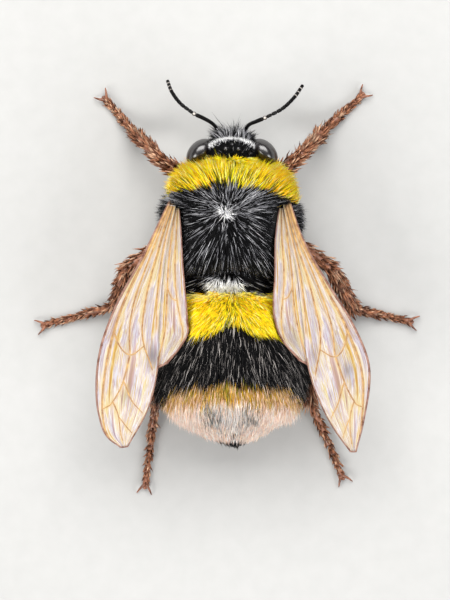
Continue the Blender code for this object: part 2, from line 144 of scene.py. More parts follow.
LAMPS = {  # place, width, depth, watts, colour
    "lamp_ahead": ((0.0, -150.0, 215.0), 310.0, 205.0, 1.25, (1.0, 0.99, 0.97)),
    "lamp_left": ((225.0, 185.0, 240.0), 200.0, 200.0, 1.12, (1.0, 0.98, 0.95)),
    "lamp_right": ((-225.0, 215.0, 240.0), 200.0, 200.0, 0.98, (0.98, 0.99, 1.0)),
}
LIT_HEIGHT = 4.0
for name, (place, width, depth, watts, colour) in LAMPS.items():
    lamp_data = bpy.data.lights.new(name, "AREA")
    lamp_data.shape = "RECTANGLE"
    lamp_data.size, lamp_data.size_y = width * MM, depth * MM
    lamp_data.energy, lamp_data.color = watts, colour
    lamp = new_object(name, lamp_data)
    lamp.location = np.array(place) * MM
    ahead, aside, down = -place[0], -place[1], LIT_HEIGHT - place[2]
    lamp.rotation_euler = (math.atan2(math.hypot(ahead, aside), -down), 0.0, math.atan2(-ahead, aside))

PALE = (0.97, 0.98, 1.0, 1.0)
room = bpy.data.worlds.new("studio")
room.use_nodes = True
walls = room.node_tree
dim_walls = walls.nodes["Background"]
dim_walls.inputs["Color"].default_value = PALE
dim_walls.inputs["Strength"].default_value = 0.2
backdrop = wire(walls, "Background", {"Color": PALE, "Strength": 0.72})
seen = wire(walls, "LightPath").outputs["Is Camera Ray"]
shown = wire(walls, "MixShader", {0: seen, 1: dim_walls.outputs[0], 2: backdrop.outputs[0]})
feed(walls, walls.nodes["World Output"], Surface=shown.outputs[0])
bpy.context.scene.world = room
bpy.context.scene.view_settings.view_transform = "Standard"

CAMERA_HEIGHT, FRAME_TALL, MID_HEIGHT = 400.0, 40.0, 5.0
camera_data = bpy.data.cameras.new("camera")
camera_data.lens = camera_data.sensor_width * (CAMERA_HEIGHT - MID_HEIGHT) / FRAME_TALL
camera_data.clip_start = 0.01
camera = new_object("camera", camera_data)
camera.location = (0.132 * MM, 0.958 * MM, CAMERA_HEIGHT * MM)
camera.rotation_euler = (0.0, 0.0, math.pi)
bpy.context.scene.camera = camera


# ---------------------------------------------------------------- skin of head, thorax and abdomen
# The bee's flesh is one closed shell of dark chitin, pinched at the neck and the waist.
# It lies inside the solids by the depth of the coat, and carries the coat's own markings and painted
# highlights, darkened as painted shade under the hairs.

CROWN_X, CROWN_Y = 0.4, -5.13  # the bare crown of the thorax, where its hairs part
HEAD_MID, CHEST_MID, REAR_MID, CORE_MID = -9.2, -4.7, 5.6, -4.1  # the widest places of the trunk's parts
FACE_END, TRUNK_LONG, SECTION_POWER = -9.98, 20.18, 2.1


def finish_piece(piece, material, slot, *nodes):
    """Gives the piece its material, ties it to the body, and hides the solids it stands for. The slot is not
    used.
    """
    piece.data.materials.append(material)
    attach(piece, "root")
    if nodes:
        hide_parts(*nodes)


def dome(place, power_in, power_out):
    """(1 - |place|^in)^(1/out) inside -1..1 and nothing outside."""
    return np.clip(1 - np.abs(np.clip(place, -1, 1)) ** power_in, 0, 1) ** (1 / power_out)


def soft_step(value):
    """3t² - 2t³ of the value held to 0..1."""
    t = np.clip(value, 0, 1)
    return t**2 * (3 - 2 * t)


def trunk_profile(y):
    """Half width, height over and depth under the axis, and the axis height, at each place along Y.

    Head, thorax and abdomen are domes along Y, joined by a soft maximum with a tube through both waists.
    """
    head = (y - HEAD_MID) / np.where(y < HEAD_MID, 0.78, 1.0)
    chest = (y - CHEST_MID) / np.where(y < CHEST_MID, 3.35, 3.45)
    rear = (y - REAR_MID) / np.where(y < REAR_MID, 5.3, 4.6)
    core = (y - CORE_MID) / 4.9
    before, behind = np.clip(-rear, 0, 1), np.clip(rear, 0, 1)
    tail_wide = (1 - behind**2.3) ** 0.74 * (1 - before**1.9) ** 0.16
    tail_tall = (1 - behind**2.3) ** 0.74 * (1 - before**2) ** 0.3
    head_tall, chest_tall = dome(head, 2.3, 2.3), dome(chest, 2.0, 2.0)
    head_wide = np.where(head < 0, dome(head, 1.8, 1.8), head_tall)
    chest_wide = np.where(chest < 0, dome(chest, 2.3, 2.3), dome(chest, 2.8, 2.8))
    tube = dome(core, 12.0, 2.0)
    toward_waist = np.clip((y + 2.0) / 1.2, 0, 1)
    edges = (0.4, 0.7, 0.75, 3.35, 3.4, 6.3, 6.35, 8.1, 8.15, 9.6, 9.65, 10.3)
    plates = 0.07 * np.interp(y, edges, (0, 1, 0, 1, 0, 1, 0, 1, 0, 1, 0, 0))

    def joined(*curves):
        """The soft maximum of the parts: the log of their summed exponentials, at 4 to the millimetre."""
        parts = zip((head, chest, rear, core), curves, (0, 0, plates, 0))
        levels = [np.where(np.abs(place) < 1, curve, -9) + step for place, curve, step in parts]
        return np.log(sum(np.exp(4.0 * (level - levels[0])) for level in levels)) / 4.0 + levels[0]

    wide = joined(2.05 * head_wide, 3.9 * chest_wide, 4.25 * tail_wide, (1.15 + 1.35 * toward_waist) * tube)
    over = joined(2.05 * head_tall, 3.05 * chest_tall, 3.1 * tail_tall, (1.05 + 0.45 * toward_waist) * tube)
    under = joined(2.05 * head_tall, 2.75 * chest_tall, 3.0 * tail_tall, (1.05 + 0.5 * toward_waist) * tube)
    axis = 4.05 + 1.25 * soft_step((y + 8.6) / 2.4) - 0.4 * soft_step((y + 3.0) / 3.2)
    axis = axis - 1.5 * (np.clip(y, 0, None) / 10.75) ** 2.2
    return np.maximum(wide, 0), np.maximum(over, 0), np.maximum(under, 0), axis


def trunk(turn, run):
    """A point of the skin: turn 0..1 goes round from the left side over the back, run 0..1 from face to tail.

    Each section is a superellipse on the trunk's profile, and run eases in and out of both poles.
    """
    y = FACE_END + TRUNK_LONG * (1 - np.cos(math.pi * run)) / 2
    wide, over, under, axis = trunk_profile(y)
    side, up = np.cos(2 * math.pi * turn), np.sin(2 * math.pi * turn)
    side, up = (np.sign(part) * np.abs(part) ** (2 / SECTION_POWER) for part in (side, up))
    return np.stack([wide * side, y, axis + np.where(up > 0, over, under) * up], axis=-1)


def unit(vectors):
    """The vectors at length one."""
    return vectors / np.maximum(np.linalg.norm(vectors, axis=-1, keepdims=True), 1e-9)


def trunk_frame(turn, run):
    """Point, outward normal and area per unit of turn and run, by small steps of both parameters."""
    step = 1e-4
    run = np.clip(run, 2e-3, 1 - 2e-3)
    by_turn = (trunk(turn + step, run) - trunk(turn - step, run)) / (2 * step)
    by_run = (trunk(turn, run + step) - trunk(turn, run - step)) / (2 * step)
    cross = np.cross(by_run, by_turn)
    return trunk(turn, run), unit(cross), np.linalg.norm(cross, axis=-1)


def closed_tube(rings, start, end):
    """Points, quads and triangles of rings x sides skinned into a tube that closes on a pole at each end.

    The faces are turned outward by the sign of the volume that they enclose.
    """
    count, sides = rings.shape[:2]
    points = np.vstack([rings.reshape(-1, 3), start, end])
    side = np.arange(sides)
    after = (side + 1) % sides
    base = (np.arange(count - 1) * sides)[:, None]
    quads = np.stack([base + side, base + after, base + after + sides, base + side + sides], axis=-1)
    quads = quads.reshape(-1, 4)
    last = (count - 1) * sides
    first_cap = np.stack([after, side, np.full(sides, count * sides)], axis=-1)
    last_cap = np.stack([last + side, last + after, np.full(sides, count * sides + 1)], axis=-1)
    caps = np.vstack([first_cap, last_cap])
    halves = np.vstack([quads[:, [0, 1, 2]], quads[:, [0, 2, 3]], caps])
    middle = points.mean(axis=0)
    first, second, third = (points[halves[:, k]] - middle for k in range(3))
    if np.einsum("ij,ij->i", first, np.cross(second, third)).sum() < 0:
        quads, caps = quads[:, ::-1], caps[:, ::-1]
    return points, quads, caps


def add_attribute(piece, name, values):
    """One number per vertex, or one colour where the values have three columns."""
    coloured = values.ndim == 2
    attribute = piece.data.attributes.new(name, "FLOAT_COLOR" if coloured else "FLOAT", "POINT")
    if coloured:
        values = np.column_stack([values, np.ones(len(values))])
    attribute.data.foreach_set("color" if coloured else "value", values.astype(np.float32).ravel())


def swell(points, seed, scale):
    """Smooth noise about -1..1: the mean of seven sine waves in seeded directions at about the scale."""
    dice = np.random.default_rng(seed)
    waves = unit(dice.normal(size=(7, 3))) * dice.uniform(0.6, 1.6, (7, 1)) * 2 * math.pi / scale
    return np.sin(points @ waves.T + dice.uniform(0, 2 * math.pi, 7)).mean(axis=-1) * 2.2


def bell(value, centre, spread):
    """exp(-((value - centre) / spread)²)."""
    return np.exp(-(((value - centre) / spread) ** 2))


# The grey and the glint dye are painted highlights: pale hairs that stand in for the sheen on the black coat.
BLACK, GLINT_GREY, GLINT = dye(11, 11, 13), dye(126, 126, 132), dye(232, 232, 236)
GOLD, LEMON, AMBER = dye(252, 198, 24), dye(248, 226, 30), dye(242, 168, 24)
# olive is painted shade: dark olive hairs among the yellow and tawny ones, most at the midline and along the
# collar's rear edge
CREAM, SHADE_OLIVE = dye(248, 238, 150), dye(136, 136, 26)
TAWNY, HONEY, SAND = dye(182, 132, 64), dye(216, 176, 92), dye(250, 210, 180)
PEACH, MILK, SLATE, ASH = dye(255, 222, 206), dye(255, 240, 232), dye(120, 124, 122), dye(214, 210, 208)
# umber to fawn are the painted highlights of the dark band's hairs; umber also colours dark strands in the
# tail
UMBER, FAWN_GLINT = dye(88, 82, 80), dye(212, 205, 200)

HEAD, COLLAR, CHEST, WAIST_PILE, YELLOW, DARK, BROWN, TAIL = range(8)


def zone_of(points):
    """The band each root lies in: the bands' edges bow with the square of the distance from the midline."""
    x, y, z = points[..., 0], points[..., 1], points[..., 2]
    y = y + 0.12 * swell(points, 3, 0.5)
    edges = [
        y > -8.55,
        y > np.where(z > 3.1, -6.18 + 0.05 * x**2 - 0.055 * x, -99.0),
        y > -1.0,
        y > 0.03 + 0.05 * x**2,
        y > np.where(z > 2.6, 2.65 - 0.75 * bell(x, 0, 0.75), 0.0),
        y > 5.52 + 0.03 * x**2 + 0.4 * np.clip(np.abs(x) - 3.3, 0, 1),
        y > 6.85 + 0.022 * x**2,
    ]
    zone = np.zeros(x.shape, dtype=int)
    for number, passed in enumerate(edges, start=1):
        zone[passed] = number
    return zone


def gleams(points):
    """Share of pale hair, painted as highlights, in the arc over the head, the thorax's spot, the waist's
    tuft and the wing roots.

    Each is a bell of the distance from its middle line, cut off below the back.
    """
    x, y, z = points[..., 0], points[..., 1], points[..., 2]
    arc = bell(y, -9.72 + 0.26 * x**2, 0.13) * (z > 4.7) * (np.abs(x) < 1.6)
    spot = bell(np.hypot(x - CROWN_X, y + 4.95), 0, 0.19) * (z > 5.0)
    tuft = bell(y, -0.42, np.where(y < -0.42, 0.37, 0.34)) * np.exp(-(((x - 0.45) / 0.88) ** 6)) * (z > 5.0)
    hinge = bell(np.abs(x + 0.35), 3.5, 0.42) * bell(y, -5.7, 0.4) * (z > 4.5)
    return arc, spot, tuft, hinge


def zone_colour(points, zone):
    """The mean colour of the coat over each point of the skin, with the pale of the painted highlights in the
    arc, the spot and the waist's tuft.
    """
    collar, band = 0.6 * GOLD + 0.2 * LEMON, 0.6 * LEMON + 0.2 * GOLD
    means = np.array([BLACK, collar, BLACK, BLACK, band, BLACK, TAWNY, PEACH])
    arc, spot, tuft, _ = gleams(points)
    pale = (0.6 * arc + 0.6 * spot + 0.6 * tuft)[:, None]
    return means[zone] * (1 - pale) + GLINT * pale


turn, run = np.meshgrid(np.arange(96) / 96, np.linspace(0.012, 0.988, 230))
poles = (trunk(np.array(0.0), np.array(end)) for end in (0.0, 1.0))
points, quads, caps = closed_tube(trunk(turn, run), *poles)
skin = mesh_piece("skin", points, quads, caps)
add_attribute(skin, "pile_colour", zone_colour(points, zone_of(points)))


def remap(tree, value, low, high, start, end, **settings):
    """The range low..high of the value turned into start..end, and held there."""
    return wire(tree, "MapRange", {0: value, 1: low, 2: high, 3: start, 4: end}, **settings).outputs[0]


def new_group(name, inputs, outputs):
    """A node group with the given sockets; returns it, the outputs of its inlet, and its outlet."""
    group = bpy.data.node_groups.new(name, "ShaderNodeTree")
    for way, sockets in (("INPUT", inputs), ("OUTPUT", outputs)):
        for socket, kind in sockets.items():
            group.interface.new_socket(socket, in_out=way, socket_type="NodeSocket" + kind)
    return group, group.nodes.new("NodeGroupInput").outputs, group.nodes.new("NodeGroupOutput")


# The pile's group gives each hair a random tone and fine flecks, and painted shade that darkens it towards
# its root.
pile_tone_and_painted_shade, given, result = new_group(
    "pile_tone_and_painted_shade",
    {"Dye": "Color", "Tone": "Float", "Along": "Float"},
    {"Color": "Color", "Roughness": "Float"},
)
flecks = noise(pile_tone_and_painted_shade, own_place(pile_tone_and_painted_shade), 2600.0, 2.0)
# painted shade: from a floor set by the tone at the root up to the full dye at six tenths of the hair
painted_root_shade = remap(pile_tone_and_painted_shade, given["Tone"], 0.0, 1.0, 0.36, 0.8)
light = remap(pile_tone_and_painted_shade, given["Along"], 0.0, 0.6, painted_root_shade, 1.0, interpolation_type="SMOOTHSTEP")
tone_light = remap(pile_tone_and_painted_shade, given["Tone"], 0.0, 1.0, 0.62, 1.3)
for factor in (tone_light, remap(pile_tone_and_painted_shade, flecks, 0.3, 0.7, 0.9, 1.1)):
    light = wire(pile_tone_and_painted_shade, "Math", {0: light, 1: factor}, operation="MULTIPLY").outputs[0]
lit = wire(pile_tone_and_painted_shade, "VectorMath", {0: given["Dye"], 3: light}, operation="SCALE").outputs[0]
held = wire(pile_tone_and_painted_shade, "VectorMath", {0: lit, 1: (0.98, 0.98, 0.98)}, operation="MINIMUM").outputs[0]
feed(pile_tone_and_painted_shade, result, Color=held, Roughness=remap(pile_tone_and_painted_shade, given["Tone"], 0.0, 1.0, 0.62, 0.42))


def dye_pile_with_painted_shade(tree, shader, tone, along):
    """Colours the shader by the coat's own dye, darkened towards each hair's root as painted shade, and by
    the hair's tone.
    """
    dyed = wire(tree, "Attribute", attribute_name="pile_colour").outputs["Color"]
    shade = wire(tree, "Group", {"Dye": dyed, "Tone": tone, "Along": along}, node_tree=pile_tone_and_painted_shade).outputs
    feed(tree, shader, Base_Color=shade["Color"], Roughness=shade["Roughness"])


skin_finish, tree, shader = new_material("skin_chitin", Specular_IOR_Level=0.4)
grain = noise(tree, own_place(tree), 1400.0, 4.0)
# the skin is dyed like a hair a quarter of the way from its root: painted shade under the coat
dye_pile_with_painted_shade(tree, shader, grain, 0.25)
pits = wire(tree, "Bump", {"Height": grain, "Strength": 0.4, "Distance": 0.00005})
feed(tree, shader, Normal=pits.outputs["Normal"])
finish_piece(skin, skin_finish, "coat_black", "head", "thorax", *["abdomen_%d" % k for k in range(1, 7)])


# ---------------------------------------------------------------- eyes and ocelli
# Two long compound eyes of thousands of black facets wrap the sides of the head, and three simple
# eyes sit on its crown. All are polished domes of chitin grown into the head's shell.


def egg(centre, radii, rows, sides, lean=0.0, power=2.0, turned=0.0, taper=0.0):
    """An ellipsoid with its poles on Z, squarer up its height for a higher power, and turned about Z.

    A lean slides each level inward by that share of its height, and a taper narrows the lower half.
    """
    level = -np.cos(np.linspace(0.03, math.pi - 0.03, rows))[:, None]
    angle = np.arange(sides) * 2 * math.pi / sides
    spread = (1 - np.abs(level) ** power) ** (1 / power)
    spread = spread * (1 - taper * np.clip(-level, 0, 1))
    height = radii[2] * level + 0 * angle
    broad, deep = radii[0] * spread * np.cos(angle), radii[1] * spread * np.sin(angle)
    rings = np.stack(
        [
            math.cos(turned) * broad - math.sin(turned) * deep,
            math.sin(turned) * broad + math.cos(turned) * deep,
            height,
        ],
        axis=-1,
    )
    poles = np.array([[0.0, 0.0, -radii[2]], [0.0, 0.0, radii[2]]])
    for part in (rings, poles):
        part[..., 0] -= np.sign(centre[0]) * lean * part[..., 2]
    return closed_tube(rings + centre, poles[0] + centre, poles[1] + centre)


def bundle(shells):
    """Several closed shells as one set of points, quads and triangles."""
    points, quads, tris = zip(*shells)
    starts = np.cumsum([0] + [len(part) for part in points])
    moved = (np.vstack([part + start for part, start in zip(parts, starts)]) for parts in (quads, tris))
    return np.vstack(points), *moved


eye_gloss, tree, shader = new_material(
    "eye_gloss", Specular_IOR_Level=0.15, Coat_Weight=0.36, Coat_Roughness=0.26, Coat_IOR=3.0
)
at = own_place(tree)
facets = wire(tree, "TexVoronoi", {"Vector": at, "Scale": 14000.0}).outputs["Distance"]
lens_edges = wire(tree, "Bump", {"Height": facets, "Strength": 0.12, "Distance": 0.00001}, invert=True)
mottle = noise(tree, at, 700.0, 3.0)
feed(
    tree,
    shader,
    Base_Color=blend(tree, mottle, dye(5, 5, 7), dye(24, 17, 18)),
    Roughness=remap(tree, mottle, 0.0, 1.0, 0.25, 0.4),
    Normal=lens_edges.outputs["Normal"],
)

for side, name in ((1, "left"), (-1, "right")):
    turned = side * math.radians(46)
    ball = egg((side * 2.17, -9.08, 4.2), (1.05, 0.7, 1.74), 48, 64, 0.02, 2.55, turned, taper=0.42)
    finish_piece(mesh_piece("eye_" + name, *ball), eye_gloss, "eye_black", "eye_" + name)

OCELLI = ((0.0, -9.5, 6.05), (0.42, -9.25, 6.12), (-0.42, -9.25, 6.12))
beads = bundle([egg(place, (0.17, 0.17, 0.15), 16, 20) for place in OCELLI])
finish_piece(mesh_piece("ocelli", *beads), eye_gloss, "eye_black")


# ---------------------------------------------------------------- face plates, jaws and tongue
# The clypeus and labrum are bare pitted shields on the face, the jaws are curved spoons of chitin hinged
# below the eyes, and the tongue lies folded back under the head in its two long sheaths.


def smooth_curve(anchors, positions):
    """A Catmull-Rom curve through the anchors, read at 0..1 of the length of its chords."""
    anchors = np.asarray(anchors, dtype=float)
    chords = np.linalg.norm(np.diff(anchors, axis=0), axis=1)
    knots = np.concatenate([[0.0], np.cumsum(chords)]) / chords.sum()
    slopes = np.gradient(anchors, knots, axis=0)
    at = np.clip(np.asarray(positions, dtype=float), 0.0, 1.0)
    span = np.clip(np.searchsorted(knots, at, side="right") - 1, 0, len(knots) - 2)
    width = (knots[span + 1] - knots[span])[..., None]
    t = (at - knots[span])[..., None] / width
    return (
        (2 * t**3 - 3 * t**2 + 1) * anchors[span]
        + (t**3 - 2 * t**2 + t) * width * slopes[span]
        + (3 * t**2 - 2 * t**3) * anchors[span + 1]
        + (t**3 - t**2) * width * slopes[span + 1]
    )


def sweep(path, broad, deep, sides=16, upright=(0.0, 0.0, 1.0), floor=None):
    """Elliptical sections carried along a path, broad across it and deep along the upright direction."""
    tangents = unit(np.gradient(path, axis=0))
    across = unit(np.cross(tangents, np.asarray(upright)))
    up = np.cross(across, tangents)
    angle = (np.arange(sides) + 0.5) * 2 * math.pi / sides - math.pi / 2
    rings = (
        path[:, None]
        + (broad[:, None] * np.cos(angle))[..., None] * across[:, None]
        + (deep[:, None] * np.sin(angle))[..., None] * up[:, None]
    )
    if floor is not None:
        rings[..., 2] = np.maximum(rings[..., 2], floor)
    return closed_tube(rings[1:-1], rings[0].mean(axis=0), rings[-1].mean(axis=0))


def eased(count):
    """Places 0..1 that crowd towards both ends."""
    return (1 - np.cos(np.linspace(0, math.pi, count))) / 2


def round_ends(places, share):
    """A factor that domes both ends over the given share of the length."""
    inward = np.clip(np.minimum(places, 1 - places) / share, 0, 1)
    return np.sqrt(1 - (1 - inward) ** 2)


shell_grain, given, result = new_group(
    "shell_grain",
    {"Base": "Color", "Worn": "Color", "Scale": "Float"},
    {"Color": "Color", "Roughness": "Float", "Height": "Float"},
)
at = own_place(shell_grain)
clouds = noise(shell_grain, at, given["Scale"], 5.0)
pits = wire(shell_grain, "TexVoronoi", {"Vector": at, "Scale": given["Scale"]}).outputs["Distance"]
hollow = remap(shell_grain, pits, 0.0, 0.4, 0.0, 1.0)
worn = remap(shell_grain, clouds, 0.35, 0.7, 0.0, 1.0)
feed(
    shell_grain,
    result,
    Color=blend(shell_grain, worn, given["Base"], given["Worn"]),
    Roughness=remap(shell_grain, clouds, 0.3, 0.7, 0.22, 0.5),
    Height=wire(shell_grain, "Math", {0: hollow, 1: clouds}, operation="ADD").outputs[0],
)


def shell_material(name, base, worn, scale, **sockets):
    """Chitin in two shades with fine pits, from the shell grain group."""
    material, tree, shader = new_material(name, **sockets)
    grain = wire(tree, "Group", {"Base": base, "Worn": worn, "Scale": scale}, node_tree=shell_grain).outputs
    bump = wire(tree, "Bump", {"Height": grain["Height"], "Strength": 0.35, "Distance": 0.00003}).outputs
    feed(tree, shader, Base_Color=grain["Color"], Roughness=grain["Roughness"], Normal=bump["Normal"])
    return material


black_shell = shell_material(
    "black_shell", dye(9, 8, 9), dye(26, 23, 22), 4200.0,
    Specular_IOR_Level=0.2, Coat_Weight=0.25, Coat_Roughness=0.14,
)
shields = [
    egg((0.0, -9.55, 3.05), (1.12, 0.66, 0.98), 32, 40),
    egg((0.0, -9.72, 1.95), (0.62, 0.34, 0.3), 20, 28),
    egg((0.72, -9.72, 4.15), (0.3, 0.3, 0.34), 16, 20),
    egg((-0.72, -9.72, 4.15), (0.3, 0.3, 0.34), 16, 20),
]
finish_piece(mesh_piece("face_shields", *bundle(shields)), black_shell, "shell_black")

JAW = ((1.0, -9.2, 2.2), (1.12, -9.5, 1.6), (0.85, -9.86, 1.02), (0.3, -10.0, 0.72))
TONGUE = ((0.14, -9.35, 1.5), (0.15, -8.9, 1.22), (0.13, -7.3, 1.14))
places = eased(30)
for side, name in ((1, "left"), (-1, "right")):
    line = smooth_curve(np.array(JAW) * (side, 1, 1), places)
    teeth = 1 + 0.12 * np.clip(places - 0.75, 0, 1) * np.sin(places * 90)
    girth = (0.36 - 0.08 * places) * round_ends(places, 0.16) * teeth
    jaw = sweep(line, girth * 1.1, girth * 0.8, 20, (side * 1.0, 0.3, 0.2))
    finish_piece(mesh_piece("mandible_" + name, *jaw), black_shell, "shell_black", "mandible_" + name)

places = eased(34)
sheaths = []
for side in (1, -1):
    girth = (0.24 - 0.08 * places) * round_ends(places, 0.1) * (1 + 0.04 * np.cos(places * 40))
    line = smooth_curve(np.array(TONGUE) * (side, 1, 1), places)
    sheaths.append(sweep(line, girth * 0.85, girth * 1.15))
tongue_sheath = shell_material("tongue_sheath", dye(58, 30, 18), dye(104, 60, 34), 3600.0)
finish_piece(mesh_piece("proboscis", *bundle(sheaths)), tongue_sheath, "shell_black", "proboscis")


# ---------------------------------------------------------------- antennae
# Each feeler is a long scape, a round pedicel at the elbow and ten drum-shaped joints of black
# chitin strung on a nerve; pale rings at the last joints and a pale bead on the elbow are painted highlights.

FEELER_HALF, DRUMS, FIRST_GLINT_RING = 0.125, 10, 7
SCAPES = {
    "left": ((0.72, -9.85, 4.2), (1.1, -10.75, 4.75), (1.9, -11.3, 5.65), (2.42, -11.52, 6.08)),
    "right": ((-0.72, -9.85, 4.2), (-1.0, -10.75, 4.75), (-1.65, -11.1, 5.65), (-2.08, -11.26, 6.08)),
}
FLAGELLA = {
    "left": ((2.62, -11.64, 6.1), (3.4, -12.25, 5.75), (4.0, -13.05, 5.1), (4.31, -13.86, 4.2)),
    "right": ((-2.3, -11.36, 6.1), (-3.3, -11.9, 5.75), (-4.1, -12.65, 5.1), (-4.73, -13.55, 4.2)),
}
feeler_shell = shell_material(
    "feeler_shell", dye(5, 5, 6), dye(15, 13, 13), 4200.0,
    Specular_IOR_Level=0.1, Coat_Weight=0.07, Coat_Roughness=0.2,
)
# pale beads and rings on the black feelers: painted highlights
painted_glint_shell = shell_material("painted_glint_beads", dye(150, 140, 132), dye(206, 200, 194), 5200.0, Coat_Weight=0.3)
for name in ("left", "right"):
    places = eased(40)
    girth = FEELER_HALF * (0.92 + 0.22 * places) * round_ends(places, 0.05)
    scape = mesh_piece("scape_" + name, *sweep(smooth_curve(SCAPES[name], places), girth, girth))
    finish_piece(scape, feeler_shell, "shell_black", "antenna_scape_" + name)

    elbow = (np.array(SCAPES[name][-1]) + FLAGELLA[name][0]) / 2
    drums = [egg(elbow, (0.15, 0.14, 0.13), 16, 20)]
    glint_beads = [egg(elbow + (0.0, 0.0, 0.08), (0.1, 0.1, 0.1), 16, 20)]
    for number in range(DRUMS):
        start, end = number / DRUMS + 0.002, (number + 1) / DRUMS - 0.002
        drum = round_ends(eased(10), 0.14) * (0.95 + 0.12 * np.linspace(0, 1, 10))
        girth = FEELER_HALF * (0.9 + 0.12 * math.sin(number / (DRUMS - 1) * math.pi)) * drum
        drums.append(sweep(smooth_curve(FLAGELLA[name], start + (end - start) * eased(10)), girth, girth))
        if number >= FIRST_GLINT_RING:
            line = smooth_curve(FLAGELLA[name], number / DRUMS + np.linspace(-0.012, 0.012, 6))
            girth = FEELER_HALF * 0.96 * np.array([0.0, 0.9, 1.0, 1.0, 0.9, 0.0])
            glint_beads.append(sweep(line, girth, girth, 14))
    flagellum = mesh_piece("flagellum_" + name, *bundle(drums))
    finish_piece(flagellum, feeler_shell, "shell_black", "antenna_flagellum_" + name)
    finish_piece(mesh_piece("glint_rings_" + name, *bundle(glint_beads)), painted_glint_shell, "shell_black")


# ---------------------------------------------------------------- legs
# Six jointed legs of red-brown chitin: hip, femur, tibia, a long first foot joint, four short ones and a
# pair of hooked claws. Each joint is a tube that seats in the one before; the hind tibia is a flat basket.

LEG_JOINTS = {  # hip, trochanter, knee and ankle, and the toe's place on the floor; X grows outward
    "front_left": ((1.1, -6.5, 2.5), (2.45, -7.1, 1.6), (4.8, -8.6, 3.3), (6.45, -10.3, 1.0), (8.55, -12.75)),
    "front_right": (
        (1.1, -6.5, 2.5), (2.35, -7.1, 1.6), (4.5, -8.8, 3.3), (6.05, -10.45, 1.0), (8.75, -13.0),
    ),
    "middle_left": ((1.3, -4.0, 2.3), (3.1, -3.8, 1.5), (7.0, -1.4, 3.9), (7.85, 1.2, 0.95), (12.65, 2.5)),
    "middle_right": ((1.3, -4.0, 2.3), (3.0, -3.8, 1.5), (6.7, -1.3, 3.9), (8.15, 1.4, 0.95), (12.0, 2.25)),
    "hind_left": ((1.1, -2.1, 2.3), (2.6, -1.3, 1.5), (5.6, 2.2, 4.0), (5.1, 7.4, 1.2), (5.85, 13.3)),
    "hind_right": ((1.1, -2.1, 2.3), (2.6, -1.3, 1.5), (5.6, 2.2, 4.0), (5.25, 7.5, 1.2), (7.45, 12.7)),
}
LEG_GIRTHS = {  # half sizes: femur; tibia across and deep at each end; foot across and deep, at its start
    "front": (0.4, (0.3, 0.3, 0.34, 0.34), (0.27, 0.27)),
    "middle": (0.44, (0.36, 0.38, 0.4, 0.42), (0.27, 0.29)),
    "hind": (0.42, (0.28, 0.4, 0.34, 0.72), (0.27, 0.48)),
}
FOOT_JOINTS = (0.0, 0.46, 0.6, 0.73, 0.86, 1.0)
TOE_HALF, TOE_HEIGHT, CLAW_REACH, CLAW_SPLAY = 0.2, 0.222, 0.86, 48


def limb_line(start, end, bow, places):
    """A straight line with a sine bow along Z."""
    line = np.array(start) + (np.array(end) - start) * places[:, None]
    return line + np.outer(np.sin(places * math.pi), (0.0, 0.0, bow))


def foot_line(ankle, toe, places):
    """Straight in plan; the height drops from the ankle by the power 1.6 and meets the floor at 0.62."""
    plan = np.array(ankle[:2]) + (np.array(toe) - ankle[:2]) * places[:, None]
    drop = np.clip(1 - places / 0.62, 0, 1) ** 1.6
    return np.column_stack([plan, TOE_HEIGHT + (ankle[2] - TOE_HEIGHT) * drop])


leg_shell = shell_material("leg_shell", dye(88, 50, 34), dye(158, 104, 78), 2600.0)
leg_limbs = {}
for name, joints in LEG_JOINTS.items():
    pair, hand = name.split("_")
    side = 1.0 if hand == "left" else -1.0
    hip, trochanter, knee, ankle, toe = ((side * joint[0], *joint[1:]) for joint in joints)
    femur_half, tibia_halves, foot_halves = LEG_GIRTHS[pair]
    places = eased(26)
    girth = femur_half * (1.15 - 0.35 * places) * round_ends(places, 0.16)
    swelling = femur_half * (0.8 + 0.3 * np.sin(places * math.pi) ** 0.8) * round_ends(places, 0.08)
    limbs = [
        ("coxa", limb_line(hip, trochanter, 0.0, places), girth, girth),
        ("femur", limb_line(trochanter, knee, 0.18, places), swelling * 0.92, swelling),
    ]
    start, end = np.array(tibia_halves[:2]), np.array(tibia_halves[2:])
    broad, deep = (start[:, None] + (end - start)[:, None] * places**0.8) * round_ends(places, 0.07)
    limbs.append(("tibia", limb_line(knee, ankle, 0.05, places), broad, deep))
    for number, (start, end) in enumerate(zip(FOOT_JOINTS[:-1], FOOT_JOINTS[1:])):
        rows = eased(20 if number == 0 else 12)
        span = start + 0.01 + (end - start - 0.012) * rows
        thin = np.clip(span / 0.6, 0, 1)
        shape = round_ends(rows, 0.12) * (0.72 + 0.34 * rows)
        broad, deep = ((half + (TOE_HALF - half) * thin) * shape for half in foot_halves)
        limbs.append(("foot_%d" % number, foot_line(ankle, toe, span), broad, deep))
    leg_limbs[name] = limbs
    shells = [sweep(line, broad, deep, floor=0.0) for _, line, broad, deep in limbs]
    heading = math.atan2(toe[1] - ankle[1], toe[0] - ankle[0])
    ahead = np.array([math.cos(heading), math.sin(heading)])
    for splay in (-CLAW_SPLAY, CLAW_SPLAY):
        places = eased(18)
        turned = heading + math.radians(splay) * (1 - 0.25 * places)
        plan = toe - 0.1 * ahead + (CLAW_REACH * places * np.array([np.cos(turned), np.sin(turned)])).T
        height = 0.3 + 0.14 * np.sin(places * math.pi) - 0.2 * places**3
        girth = (0.125 - 0.09 * places) * round_ends(places, 0.08)
        shells.append(sweep(np.column_stack([plan, height]), girth, girth, 12, floor=0.02))
    shells.append(egg((*(toe + 0.12 * ahead), 0.2), (0.16, 0.16, 0.12), 12, 16))
    solids = [part + "_" + name for part in ("coxa", "femur", "tibia", "tarsus")]
    finish_piece(mesh_piece("leg_" + name, *bundle(shells)), leg_shell, "leg_brown", *solids)


# ---------------------------------------------------------------- wings
# Two pairs of dry membranes, pleated along brown tubes that stiffen them and bound by a darker rim.
# They hinge on the thorax under a small round scale and lie back over the sides of the abdomen.

